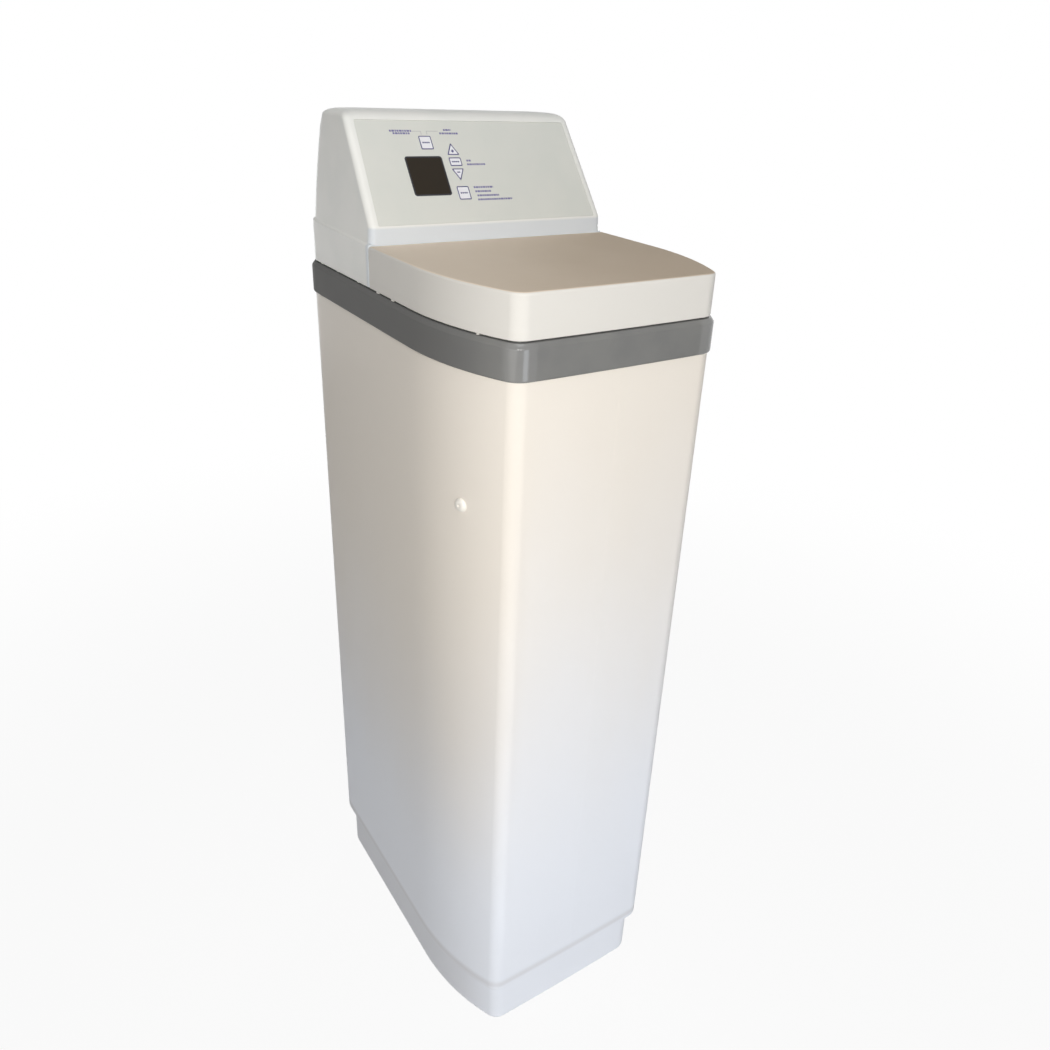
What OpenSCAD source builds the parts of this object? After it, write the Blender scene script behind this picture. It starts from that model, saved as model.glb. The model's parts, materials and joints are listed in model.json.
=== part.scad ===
// Domestic cabinet water softener: brine cabinet, resin vessel, motor-driven piston valve and bypass.
// Millimetres. The origin lies on the floor in the middle of the cabinet; the front faces -Y, +Z is up.

/* [Cabinet] */
// Width over the collar
body_w = 320; // [316:1:330]
// Depth over the collar
body_d = 452; // [450:1:462]
// Height of the collar's flat top
collar_top = 966; // [964:1:970]
// Height of the collar's band
collar_h = 37; // [30:1:40]
// Height of the set-back plinth
plinth_h = 72; // [60:1:76]
// Radius of the front corners in plan
front_corner_r = 24; // [20:1:28]
// Radius of the swept front part of each side in plan
sweep_r = 311; // [290:1:330]
// Angle through which each side sweeps in towards the front
sweep_angle = 26; // [24:1:28]
// Radius of the slightly bowed front in plan
front_bow_r = 6000; // [4000:100:9000]
// Radius of the back corners in plan
back_corner_r = 44; // [40:1:48]
// Wall thickness of the cabinet
cabinet_wall = 3.5; // [3:0.5:4]
// How far the cabinet stands inside the collar's face
cabinet_inset = 2.9; // [2.6:0.1:3.2]
// How far the plinth stands inside the cabinet
plinth_inset = 8.4; // [8.2:0.1:9]
// Radius of the cabinet's lower edge
lower_edge_r = 8; // [5:0.5:8]

/* [Lid and head cover] */
// How far the lid and cover stand inside the collar's face
cover_inset = 4.5; // [4.3:0.1:5]
// Height of the lid's flat top
lid_top = 1012; // [1010:1:1016]
// Where the lid meets the head cover, front to back
seam_y = 26.3; // [25:0.1:27]
// Dark gap under the lid and cover
shadow_gap = 1.8; // [1.2:0.1:2]
// Wall thickness of the lid and cover
cover_wall = 2.8; // [2.6:0.1:3]
// Radius of the lid's upper edge
lid_edge_r = 3; // [2:0.5:4]
// Height of the upright foot below the sloped panel
foot_h = 19; // [17:1:21]
// Lean of the sloped panel from the vertical
slope_angle = 35.6; // [35:0.1:36.2]
// Height of the hood's flat top
hood_top = 1141; // [1139:1:1145]
// Radius that rolls the panel into the roof
brow_r = 24; // [20:1:26]
// Half width of the hood at its base
hood_half_w = 153; // [152:0.5:153]
// How much each side of the hood leans in over its height
hood_taper = 7.4; // [6:0.2:8]
// How far the back of the hood leans in over its height
hood_lean = 23.5; // [20:0.5:26]

/* [Panel] */
// Half width of the fascia at its lower edge
fascia_half_low = 142; // [140:0.5:142]
// Half width of the fascia at its upper edge
fascia_half_high = 137; // [135:0.5:137]
// Thickness of the fascia sheet
fascia_t = 0.8; // [0.6:0.1:0.9]
// Depth of the recess that holds the fascia
recess = 1.2; // [1.1:0.1:1.3]
// Width of the display window
display_w = 46; // [42:1:47]
// Height of the display window
display_h = 47; // [44:1:48]
// Width of the keys
key_w = 15.2; // [14:0.1:15.6]
// Travel of the keys
key_travel = 0.5; // [0.3:0.1:0.5]

/* [Resin vessel] */
// Outer radius of the vessel
tank_r = 128.5; // [126:0.5:128.5]
// Where the vessel stands, front to back
tank_y = 84; // [82:1:84]
// Height of the vessel's neck above the floor
neck_top = 902; // [900:1:903]
// Level of the resin above the floor
resin_level = 620; // [500:10:700]

/* [Valve] */
// Height of the piston's axis
piston_z = 978; // [977:0.5:979]
// Half distance between the inlet and the outlet
port_x = 44; // [43:0.5:46]
// Height of the inlet and the outlet
port_z = 990; // [989:0.5:991]
// Stroke of the piston
piston_stroke = 20; // [16:1:20]
// Module of the gear teeth
gear_module = 1.25; // [1.2:0.01:1.25]

/* [Brine side] */
// Outer radius of the brine well
well_r = 40; // [38:0.5:40]
// Height of the screw that holds the brine well
bolt_z = 785; // [700:5:800]
// Rise of the float
float_rise = 20; // [10:1:25]

/* [Hidden] */
$fn = 48;
// Overshoot that carries a cut clear of a face
cut = 1;
// Play between a fixed insert and its seat
fit = 0.2;
// Play between a moving piece and its guide
play = 0.3;

// Plan of the cabinet
half_w = body_w / 2;
half_d = body_d / 2;
corner_x = half_w - sweep_r + (sweep_r - front_corner_r) * cos(sweep_angle);
bow_angle = asin(corner_x / (front_bow_r - front_corner_r));
corner_y = -half_d + front_bow_r - (front_bow_r - front_corner_r) * cos(bow_angle);
sweep_y = corner_y + (sweep_r - front_corner_r) * sin(sweep_angle);

// Heights and insets of the cabinet and the collar
floor_t = 4;
inner_inset = cabinet_inset + cabinet_wall;
plinth_total = cabinet_inset + plinth_inset;
foot_bevel = 2.4;
flange_t = 3;
collar_bottom = collar_top - collar_h;
collar_chamfer = 4.2;
collar_edge_r = 2.4;
lip_inset = 9.5;
mouth_inset = 12;
rib_inset = 8.5;
rib_h = 12;
bridge_front = seam_y - 9;
bridge_back = seam_y + 8;
bridge_h = 8;

// Lid and cover
cover_bottom = collar_top + shadow_gap;
joint_gap = 0.6;
lid_rear = seam_y - joint_gap / 2;
cover_front = seam_y + joint_gap / 2;
foot_top = lid_top + foot_h;
roof_rise = brow_r * (1 - sin(slope_angle));
roof_z = hood_top - roof_rise;
hood_back_base = half_d - 9.5;
hood_wall = 3.2;
side_roll = 14;
back_roll = 42;
front_edge_r = 8.5;
hood_back_r = 36;
hood_top_r = 24;
notch_half = 78;
notch_top = 1050;
nub_size = [5, 2.2];
nub_y = [-33, 4];
cover_nub_y = [60, 120, 170];

// Sloped panel: x to the right, s up the slope from its lower edge
panel_len = (roof_z - foot_top) / cos(slope_angle);
fascia_margin = 1.2;
fascia_corner_r = 4;
display_x = -66;
display_s = 57.3;
window_ledge = 2;
key_column_x = -27;
key_proud = 0.3;
key_corner_r = 1.4;
key_play = 0.25;
key_flange = 1;
flange_lip = 1.1;
stem_r = 2.5;
switch_gap = key_travel + 0.1;
board_depth = 12;
board_t = 1.6;
board_x = -58;
board_size = [110, 96];
board_s = 64;
post_r = 3.5;
post_x = [-49, 49];
post_s = [-42, 42];
panel_screw_r = 1.5;
socket_x = 105;
socket_z = 990;

// Vessel
tank_bottom = 16;
tank_wall = 4;
dome_h = 82;
tank_shoulder = 792;
neck_r = 45;
neck_bore = 32;
boot_r = 118;
boot_h = 66;
riser_r = 13.35;
riser_bore = 10.5;
riser_top = 930;
basket_r = 30;
basket_wall = 3;
low_basket = [26, 86];
high_basket = [842, 879];

// Valve
seal_t = 1.5;
valve_base = neck_top + seal_t;
flange_r = 56;
flange_h = 18;
column_r = 43;
spigot_bottom = high_basket[1];
housing_r = 39;
bore_r = 31;
bore_front = 62;
bore_back = 144;
housing_back = 150;
port_r = 17;
port_bore = 12.5;
port_start = 104;
port_end = 198;
piston_r = 21.8;
piston_len = 50;
piston_front = bore_back - 2 - piston_len - piston_stroke;
cap_front = 58;
cap_spigot = 69;
stack_parts = 4;
seal_w = 3;
spacer_w = (bore_back - cap_spigot - (stack_parts + 1) * seal_w) / stack_parts;
side_boss_z = 945;
side_boss_y = 84;
injector_x = 66;
brine_boss_x = -62;
drain_y = 128;
drain_boss_top = 1022;
drain_z = 1034;
drain_end = 250;
drain_r = 6.35;

// Drive: gear layers from front to back, then the bracket
layer_a = [38, 45];
layer_b = [46.5, 52.5];
bracket_y = [55, 58];
pressure_angle = 25;
backlash = 0.14;
pinion_teeth = 12;
wheel_teeth = 36;
main_teeth = 44;
main_to_reduction = 150;
reduction_to_motor = 180;
mesh_main = gear_module * (main_teeth + pinion_teeth) / 2;
mesh_motor = gear_module * (wheel_teeth + pinion_teeth) / 2;
reduction_x = mesh_main * cos(main_to_reduction);
reduction_z = piston_z + mesh_main * sin(main_to_reduction);
motor_x = reduction_x + mesh_motor * cos(reduction_to_motor);
motor_z = reduction_z + mesh_motor * sin(reduction_to_motor);
motor_r = 18;
motor_back = 96;
hub_r = 9.5;
lead_screw_r = 5;
lead_screw_end = 116;
axle_r = 2.5;
shaft_r = 1.5;
bracket_screw_at = 34;
screw_r = 2;

// Bypass behind the valve
rotor_y = 245;
rotor_r = 16;
rotor_house_r = 21;
rotor_house = [968, 1012];
bypass_end = 275;
tail_end = 295;
tail_r = 13.22;
tail_bore = 10;
nut_r = 23;
nut_y = [186, 210];
cross_r = 13;
rotor_cap_h = 3;
handle_t = 9;
handle_reach = 22;

// Brine well, held to the left side where it sweeps in
bolt_angle = 16.4;
bolt_r = 4;
bolt_head_r = 7.5;
bolt_head_h = 4;
well_gap = plinth_inset + 0.6;
boss_r = 10;
boss_gap = 0.6;
well_wall = 2.5;
well_top = 900;
well_reach = sweep_r - inner_inset - well_gap - well_r;
well_x = sweep_r - half_w - well_reach * cos(bolt_angle);
well_y = sweep_y - well_reach * sin(bolt_angle);
pickup_dy = 14;
pickup_r = 6.35;
pickup_bore = 4.2;
line_z = 862;
line_r = 4.76;
elbow_reach = 30;
rod_dx = -12;
rod_dy = -8;
rod_r = 2;
float_r = 15;
float_z = [300, 350];
rod_z = [130, line_z - 4 - float_rise];
guide_z = [812, 818];
brine_elbow_x = -80;
brine_elbow_z = 924;
overflow_x = 95;
overflow_z = 760;
overflow_y = half_d - cabinet_inset;

// Route of the brine line between its two elbows
line_route = [
    [well_x, well_y + elbow_reach, line_z], [-95, -85, 862], [-100, -30, 862], [-101, 20, 866],
    [-95, 56, 876], [-86, 76, 890], [brine_elbow_x, side_boss_y, 906],
    [brine_elbow_x, side_boss_y, brine_elbow_z]
];

// Points along an arc; tail leaves out the first, where two arcs meet
function arc(c, r, a0, a1, steps, tail = 0) =
    [for (i = [tail:steps]) let (a = a0 + (a1 - a0) * i / steps) c + r * [cos(a), sin(a)]];

function unit(v) = v / norm(v);

// Front of the plan from the left side round to the right, inset from the collar's face
function front_plan(inset) = concat(
    arc([sweep_r - half_w, sweep_y], sweep_r - inset, 180, 180 + sweep_angle, 6),
    arc([-corner_x, corner_y], front_corner_r - inset, 180 + sweep_angle, 270 - bow_angle, 6, 1),
    arc([0, front_bow_r - half_d], front_bow_r - inset, 270 - bow_angle, 270 + bow_angle, 4, 1),
    arc([corner_x, corner_y], front_corner_r - inset, 270 + bow_angle, 360 - sweep_angle, 6, 1),
    arc([half_w - sweep_r, sweep_y], sweep_r - inset, 360 - sweep_angle, 360, 6, 1));

function back_plan(inset) = let (x = half_w - back_corner_r, y = half_d - back_corner_r) concat(
    arc([x, y], back_corner_r - inset, 0, 90, 7),
    arc([-x, y], back_corner_r - inset, 90, 180, 7));

function plan(inset) = concat(front_plan(inset), back_plan(inset));

// Plan of the lid: the front of the cabinet's plan, closed by a straight rear edge
function lid_plan(inset, rear) =
    concat(front_plan(inset), [[half_w - inset, rear], [inset - half_w, rear]]);

// Rounded plan of the head cover at one height
function cover_plan(half, front, back, front_r, back_r) = concat(
    arc([front_r - half, front + front_r], front_r, 180, 270, 4),
    arc([half - front_r, front + front_r], front_r, 270, 360, 4),
    arc([half - back_r, back - back_r], back_r, 0, 90, 7),
    arc([back_r - half, back - back_r], back_r, 90, 180, 7));

function ring(points, z) = [for (p = points) [p.x, p.y, z]];

// Convex outline moved outwards by a margin
function grow(points, margin) = let (n = len(points)) [for (i = [0:n - 1])
    let (v = points[i], a = unit(points[(i + n - 1) % n] - v), b = unit(points[(i + 1) % n] - v))
    v - unit(a + b) * margin / sin(acos(a * b) / 2)];

// Convex outline with its corners rounded
function rounded(points, r, steps = 4) = let (n = len(points)) [for (i = [0:n - 1])
    let (v = points[i], a = unit(points[(i + n - 1) % n] - v), b = unit(points[(i + 1) % n] - v),
         half = acos(a * b) / 2, c = v + unit(a + b) * r / sin(half),
         start = v + a * r / tan(half) - c, turn = 180 - 2 * half, a0 = atan2(start.y, start.x))
    each arc(c, r, a0, a0 + turn, steps)];

function box(x, y, w, h) = [[x - w / 2, y - h / 2], [x + w / 2, y - h / 2],
                            [x + w / 2, y + h / 2], [x - w / 2, y + h / 2]];

// Outlines of the five keys on the panel
key_top_shape = box(-57.2, 97.2, key_w, 16.2);
key_up_shape = [[key_column_x - key_w / 2, 82.2], [key_column_x + key_w / 2, 82.2], [key_column_x, 96.6]];
key_middle_shape = box(key_column_x, 73.8, key_w, 10.2);
key_down_shape = [[key_column_x + key_w / 2, 65.4], [key_column_x - key_w / 2, 65.4], [key_column_x, 51]];
key_bottom_shape = box(key_column_x - 0.8, 35.8, key_w, 16);
key_shapes = [key_top_shape, key_up_shape, key_middle_shape, key_down_shape, key_bottom_shape];
key_centres = [[-57.2, 97.2], [key_column_x, 87.2], [key_column_x, 73.8], [key_column_x, 60.4],
               [key_column_x - 0.8, 35.8]];
display_shape = box(display_x, display_s, display_w, display_h);
fascia_shape = [[-fascia_half_low, fascia_margin], [fascia_half_low, fascia_margin],
                [fascia_half_high, panel_len - fascia_margin],
                [-fascia_half_high, panel_len - fascia_margin]];

// Stations up the hood: height, front, lean of the front there, and share of the roof's roll
hood_stations = concat(
    [[lid_top, cover_front, 0, 0], [foot_top, cover_front, slope_angle / 2, 0]],
    [for (i = [1:4]) let (z = foot_top + (roof_z - foot_top) * i / 4)
        [z, cover_front + (z - foot_top) * tan(slope_angle), slope_angle, 0]],
    [for (j = [1:5]) let (a = slope_angle + (90 - slope_angle) * j / 5,
                          z = roof_z + brow_r * (sin(a) - sin(slope_angle)))
        [z, cover_front + (roof_z - foot_top) * tan(slope_angle) + brow_r * (cos(slope_angle) - cos(a)),
         a, (z - roof_z) / roof_rise]]);

// Plan ring of the hood at a station, moved in by the wall where it bounds the hollow
function hood_ring(station, wall) = let (
    rise = (station[0] - lid_top) / (hood_top - lid_top),
    share = min(station[3], 1),
    roll = 1 - sqrt(1 - share * share),
    half = hood_half_w - hood_taper * rise - side_roll * roll - wall,
    back = hood_back_base - hood_lean * pow(rise, 1.5) - back_roll * roll - wall,
    back_r = hood_back_r + (hood_top_r - hood_back_r) * share - wall)
    ring(cover_plan(half, station[1] + wall * cos(station[2]), back, front_edge_r - wall, back_r),
         station[0] - wall * sin(station[2]));

function skirt_ring(wall, z) = ring(
    cover_plan(half_w - cover_inset - wall, cover_front + wall, half_d - cover_inset - wall,
               front_edge_r - hood_wall, back_corner_r - cover_inset - wall), z);

// Quarter ellipse of a dome as radius and height, from its rim to the radius given
function dome(r, h, z, from_r, steps) = let (a1 = acos(from_r / r))
    [for (i = [0:steps]) let (a = a1 * i / steps) [r * cos(a), z + h * sin(a)]];

function reversed(list) = [for (i = [len(list) - 1:-1:0]) list[i]];

// Lower dome from the vessel's axis out to its wall
function low_dome(r, h) = reversed(dome(r, -h, tank_bottom + dome_h, 0, 9));

// Involute of a gear flank as an angle from the middle of its tooth
function involute(a) = tan(a) * 180 / PI - a;

function gear_points(teeth) = let (
    pitch = gear_module * teeth / 2, base = pitch * cos(pressure_angle),
    tip = pitch + 0.8 * gear_module, root = pitch - 1.05 * gear_module, low = max(base, root),
    half = 90 / teeth - backlash / pitch * 90 / PI,
    flank = [for (i = [0:5]) let (r = low + (tip - low) * i / 5)
        [r, half + involute(pressure_angle) - involute(acos(min(1, base / r)))]],
    side = concat([[root, flank[0][1]]], flank))
    [for (k = [0:teeth - 1]) let (mid = k * 360 / teeth)
        each concat([for (p = side) p[0] * [cos(mid - p[1]), sin(mid - p[1])]],
                    [for (p = reversed(side)) p[0] * [cos(mid + p[1]), sin(mid + p[1])]])];

// Point and direction on a smooth curve through the route
function route_point(p, i, t) = let (n = len(p) - 1, a = p[max(i - 1, 0)], b = p[i],
                                     c = p[i + 1], d = p[min(i + 2, n)])
    0.5 * (2 * b + (c - a) * t + (2 * a - 5 * b + 4 * c - d) * t * t + (3 * b - a - 3 * c + d) * t * t * t);

// Solid through a stack of rings that have the same number of points
module loft(rings) {
    n = len(rings[0]);
    m = len(rings);
    polyhedron(
        points = [for (r = rings) each r],
        faces = concat(
            [[for (i = [0:n - 1]) i]],
            [[for (i = [n - 1:-1:0]) (m - 1) * n + i]],
            [for (k = [0:m - 2]) for (i = [0:n - 1]) let (j = (i + 1) % n) each [
                [k * n + i, (k + 1) * n + i, (k + 1) * n + j], [k * n + i, (k + 1) * n + j, k * n + j]]]));
}

module prism(points, z0, z1) {
    translate([0, 0, z0])
        linear_extrude(z1 - z0)
            polygon(points);
}

module x_rod(x0, x1, y, z, r) {
    translate([x0, y, z])
        rotate([0, 90, 0])
            cylinder(h = x1 - x0, r = r);
}

module y_rod(x, z, y, r) {
    translate([x, y[1], z])
        rotate([90, 0, 0])
            cylinder(h = y[1] - y[0], r = r);
}

module z_rod(x, y, z, r) {
    translate([x, y, z[0]])
        cylinder(h = z[1] - z[0], r = r);
}

module z_tube(x, y, z, r, bore) {
    difference() {
        z_rod(x, y, z, r);
        z_rod(x, y, [z[0] - cut, z[1] + cut], bore);
    }
}

module y_tube(x, z, y, r, bore) {
    difference() {
        y_rod(x, z, y, r);
        y_rod(x, z, [y[0] - cut, y[1] + cut], bore);
    }
}

// Gear with its axis along Y, turned so that a tooth points at the angle given
module gear(teeth, x, z, y, tooth_at) {
    translate([x, y[1], z])
        rotate([90, 0, 0])
            linear_extrude(y[1] - y[0])
                rotate(tooth_at)
                    polygon(gear_points(teeth));
}

// Frame of the sloped panel: x across, y up the slope, z out of the panel
module on_panel() {
    translate([0, cover_front, foot_top])
        rotate([90 - slope_angle, 0, 0])
            children();
}

module on_tank() {
    translate([0, tank_y, 0])
        children();
}

// Frame of the brine well's screw: z out of the cabinet's left side
module on_bolt() {
    at = [sweep_r - half_w, sweep_y]
        - (sweep_r - cabinet_inset) * [cos(bolt_angle), sin(bolt_angle)];
    translate([at.x, at.y, bolt_z])
        rotate([0, 0, bolt_angle])
            rotate([0, -90, 0])
                children();
}

module in_well() {
    translate([well_x, well_y, 0])
        children();
}

module cabinet() {
    steps = 5;
    plinth_inner = plinth_total + cabinet_wall;
    rings = concat(
        [ring(plan(plinth_total + foot_bevel), 0), ring(plan(plinth_total), 1.5 * foot_bevel),
         ring(plan(plinth_total), plinth_h)],
        [for (i = [0:steps]) let (a = i * 90 / steps)
            ring(plan(cabinet_inset + lower_edge_r * (1 - sin(a))),
                 plinth_h + 0.2 + lower_edge_r * (1 - cos(a)))],
        [ring(plan(cabinet_inset), collar_top - flange_t)]);
    color("white")
        difference() {
            loft(rings);
            prism(plan(inner_inset), plinth_h + lower_edge_r + 2, collar_top);
            prism(plan(plinth_inner), floor_t, plinth_h + lower_edge_r + 2 + cut);
            on_bolt()
                translate([0, 0, -3 * cabinet_wall])
                    cylinder(h = 6 * cabinet_wall, r = bolt_r + fit);
            y_rod(overflow_x, overflow_z, [overflow_y - 4 * cabinet_wall, overflow_y + cut], 10 + fit);
        }
}

module collar() {
    steps = 3;
    rings = concat(
        [for (i = [0:steps]) let (a = i * 90 / steps)
            ring(plan(collar_edge_r * (1 - sin(a))), collar_bottom + collar_edge_r * (1 - cos(a)))],
        [ring(plan(0), collar_top - collar_chamfer), ring(plan(collar_chamfer), collar_top)]);
    skirt_inset = cabinet_inset - 0.05;
    color([0.45, 0.45, 0.44]) {
        difference() {
            loft(rings);
            prism(plan(mouth_inset), collar_bottom - cut, collar_top + cut);
            difference() {
                prism(plan(skirt_inset), collar_bottom - cut, collar_top - flange_t);
                prism(plan(lip_inset), collar_bottom - 2 * cut, collar_top);
            }
        }
        difference() {
            prism(plan(rib_inset), collar_top, collar_top + rib_h);
            prism(plan(mouth_inset - 1), collar_top - cut, collar_top + rib_h + cut);
            translate([-notch_half, half_d / 2, collar_top - cut])
                cube([2 * notch_half, half_d, rib_h + 2 * cut]);
            translate([-body_w, bridge_front, collar_top - cut])
                cube([2 * body_w, bridge_back - bridge_front, rib_h + 2 * cut]);
        }
        translate([mouth_inset - half_w - 0.5, bridge_front, collar_top - bridge_h])
            cube([body_w - 2 * mouth_inset + 1, bridge_back - bridge_front, bridge_h]);
    }
}

module salt_lid() {
    steps = 4;
    rib_t = 2;
    rib_drop = 6;
    inner = cover_inset + cover_wall;
    inner_top = lid_top - cover_wall;
    rings = concat(
        [ring(lid_plan(cover_inset, lid_rear), cover_bottom)],
        [for (i = [0:steps]) let (a = i * 90 / steps, roll = lid_edge_r * (1 - cos(a)))
            ring(lid_plan(cover_inset + roll, lid_rear - roll / 3), lid_top - lid_edge_r * (1 - sin(a)))]);
    color([0.9, 0.89, 0.86]) {
        difference() {
            loft(rings);
            prism(lid_plan(inner, lid_rear - cover_wall), cover_bottom - cut, inner_top);
        }
        for (y = [-150, -85, -20])
            translate([-110, y, inner_top - rib_drop])
                cube([220, rib_t, rib_drop + cut]);
        for (y = nub_y, side = [-1, 1])
            translate([side * (half_w - cover_inset - 1.2) - nub_size[1] / 2, y, collar_top])
                cube([nub_size[1], nub_size[0], shadow_gap + cut]);
        for (x = [-70, 70])
            translate([x, cover_inset - half_d + 0.9, collar_top])
                cube([nub_size[0], nub_size[1], shadow_gap + cut]);
    }
}

module head_cover() {
    outer = concat(
        [skirt_ring(0, cover_bottom), skirt_ring(0, lid_top - cut), skirt_ring(cut, lid_top)],
        [for (s = hood_stations) hood_ring(s, 0)]);
    hollow = concat(
        [skirt_ring(cover_wall, cover_bottom - cut), skirt_ring(cover_wall, lid_top - hood_wall)],
        [for (s = hood_stations) hood_ring(s, hood_wall)]);
    color([0.88, 0.87, 0.85]) {
        difference() {
            loft(outer);
            loft(hollow);
            on_panel() {
                prism(rounded(fascia_shape, fascia_corner_r), -recess, 3 * recess);
                prism(rounded(grow(display_shape, -window_ledge), 3), -3 * hood_wall, recess);
                for (shape = key_shapes)
                    prism(rounded(grow(shape, key_play), key_corner_r + key_play), -3 * hood_wall, recess);
            }
            translate([-notch_half, half_d / 2 + 20, cover_bottom - cut])
                cube([2 * notch_half, half_d, notch_top - cover_bottom + cut]);
            y_rod(socket_x, socket_z, [half_d / 2, half_d], 6 + fit);
        }
        on_panel()
            for (x = post_x, s = post_s)
                translate([board_x + x, board_s + s, -board_depth])
                    difference() {
                        cylinder(h = board_depth - hood_wall + 0.1, r = post_r);
                        translate([0, 0, -cut])
                            cylinder(h = 7 + cut, r = panel_screw_r + 0.05);
                    }
        for (y = cover_nub_y, side = [-1, 1])
            translate([side * (half_w - cover_inset - 1.2) - nub_size[1] / 2, y, collar_top])
                cube([nub_size[1], nub_size[0], shadow_gap + cut]);
    }
}

module fascia() {
    color([0.84, 0.84, 0.81])
        on_panel()
            difference() {
                prism(rounded(grow(fascia_shape, -fit), fascia_corner_r), -recess, fascia_t - recess);
                prism(rounded(grow(display_shape, fit), 3), -2 * recess, recess);
                for (shape = key_shapes)
                    prism(rounded(grow(shape, key_play), key_corner_r + key_play), -2 * recess, recess);
            }
}

module display_window() {
    color([0.18, 0.15, 0.13])
        on_panel()
            prism(rounded(display_shape, 3), -recess, fascia_t - recess);
}

module display_module() {
    margin = 2;
    color("dimgray")
        on_panel() {
            prism(rounded(grow(display_shape, -window_ledge - margin), 1), -hood_wall, -recess);
            prism(grow(display_shape, -1), -board_depth, -hood_wall - fit);
            prism(grow(display_shape, -window_ledge - 2 * margin), -hood_wall - cut, -hood_wall + cut);
        }
}

module circuit_board() {
    color("darkgreen")
        on_panel()
            difference() {
                prism(box(board_x, board_s, board_size[0], board_size[1]),
                      -board_depth - board_t, -board_depth);
                for (x = post_x, s = post_s)
                    translate([board_x + x, board_s + s, -board_depth - board_t - cut])
                        cylinder(h = board_t + 2 * cut, r = panel_screw_r + fit);
            }
}

module board_parts() {
    back = -board_depth - board_t;
    color("black")
        on_panel() {
            prism(box(-58, 64, 16, 16), back - 2, back);
            prism(box(-80, 40, 22, 14), back - 11, back);
            prism(box(-36, 40, 14, 8), back - 9, back);
            prism(box(-84, 84, 18, 6), back - 8, back);
            for (x = [-62, -50])
                translate([x, 90, back - 10])
                    cylinder(h = 10, r = 4);
        }
}

module key_switches() {
    body = 6;
    body_top = -recess - hood_wall - 2.6;
    color([0.15, 0.15, 0.16])
        on_panel()
            for (c = key_centres)
                translate([c.x, c.y, 0]) {
                    prism(box(0, 0, body, body), -board_depth, body_top);
                    translate([0, 0, body_top - 0.5])
                        cylinder(h = 0.5 + 0.4, r = 1.75);
                }
}

module board_screws() {
    color("silver")
        on_panel()
            for (x = post_x, s = post_s)
                translate([board_x + x, board_s + s, -board_depth - board_t]) {
                    translate([0, 0, -1.8])
                        cylinder(h = 1.8, r = 2.8);
                    cylinder(h = 7, r = panel_screw_r);
                }
}

module power_socket() {
    face = half_d - cover_inset;
    color([0.1, 0.1, 0.1]) {
        difference() {
            union() {
                y_rod(socket_x, socket_z, [face - 18, face + 1], 6);
                y_rod(socket_x, socket_z, [face + 0.05, face + 2.5], 8.5);
            }
            y_rod(socket_x, socket_z, [face - 12, face + 5], 3);
        }
        y_rod(socket_x, socket_z, [face - 12.5, face + 1.5], 1);
    }
}

// One key: a cap flush in the fascia, a flange behind the panel and a stem to its switch
module key_cap(shape, centre) {
    face = fascia_t - recess + key_proud;
    back = -hood_wall - play;
    stem_end = -recess - hood_wall - 2.6 + 0.4 + switch_gap;
    color("white")
        on_panel() {
            prism(rounded(shape, key_corner_r), back - key_flange, face);
            prism(rounded(grow(shape, flange_lip), key_corner_r), back - key_flange, back);
            translate([centre.x, centre.y, stem_end])
                cylinder(h = back - stem_end, r = stem_r);
        }
}

module key_top() {
    key_cap(key_top_shape, key_centres[0]);
}

module key_up() {
    key_cap(key_up_shape, key_centres[1]);
}

module key_middle() {
    key_cap(key_middle_shape, key_centres[2]);
}

module key_down() {
    key_cap(key_down_shape, key_centres[3]);
}

module key_bottom() {
    key_cap(key_bottom_shape, key_centres[4]);
}

module resin_tank() {
    inner_r = tank_r - tank_wall;
    inner_h = dome_h - tank_wall;
    outer = concat(low_dome(tank_r, dome_h), dome(tank_r, dome_h, tank_shoulder, neck_r, 8),
                   [[neck_r, neck_top], [neck_bore, neck_top]]);
    inner = concat(low_dome(inner_r, inner_h), dome(inner_r, inner_h, tank_shoulder, neck_bore, 8));
    color([0.2, 0.35, 0.6])
        on_tank()
            rotate_extrude()
                polygon(concat(outer, reversed(inner)));
}

module tank_boot() {
    gap = 0.05;
    inside = [for (p = low_dome(tank_r + gap, dome_h + gap)) if (p.x < boot_r - 4 && p.y < boot_h) p];
    last = inside[len(inside) - 1];
    color([0.12, 0.12, 0.12])
        on_tank()
            rotate_extrude()
                polygon(concat(inside, [[boot_r, last.y], [boot_r, floor_t], [0, floor_t]]));
}

module resin_bed() {
    r = tank_r - tank_wall - fit;
    h = dome_h - tank_wall - fit;
    color([0.75, 0.5, 0.2])
        on_tank()
            difference() {
                rotate_extrude()
                    polygon(concat(low_dome(r, h), [[r, resin_level], [0, resin_level]]));
                z_rod(0, 0, [0, low_basket[1] + fit], basket_r + fit);
                z_rod(0, 0, [0, resin_level + cut], riser_r + fit);
            }
}

module riser_tube() {
    color("white")
        z_tube(0, tank_y, [low_basket[1] - 20, riser_top], riser_r, riser_bore);
}

// Slotted strainer cup round the riser; the closed end is its floor
module basket(z, floor_bore) {
    slots = 8;
    slot_w = 3;
    color([0.92, 0.92, 0.9])
        on_tank()
            difference() {
                z_rod(0, 0, z, basket_r);
                z_rod(0, 0, [z[0] + basket_wall, z[1] - basket_wall], basket_r - basket_wall);
                z_rod(0, 0, [z[0] + floor_bore, z[1] + cut], riser_r + fit);
                for (k = [0:slots / 2 - 1])
                    rotate(k * 360 / slots)
                        translate([-2 * basket_r, -slot_w / 2, z[0] + 3 * basket_wall])
                            cube([4 * basket_r, slot_w, z[1] - z[0] - 6 * basket_wall]);
            }
}

module lower_basket() {
    basket(low_basket, basket_wall);
}

module upper_basket() {
    basket(high_basket, -cut);
}

module neck_seal() {
    color([0.1, 0.1, 0.1])
        z_tube(0, tank_y, [neck_top, valve_base], neck_r - 3, neck_bore + 2);
}

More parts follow.
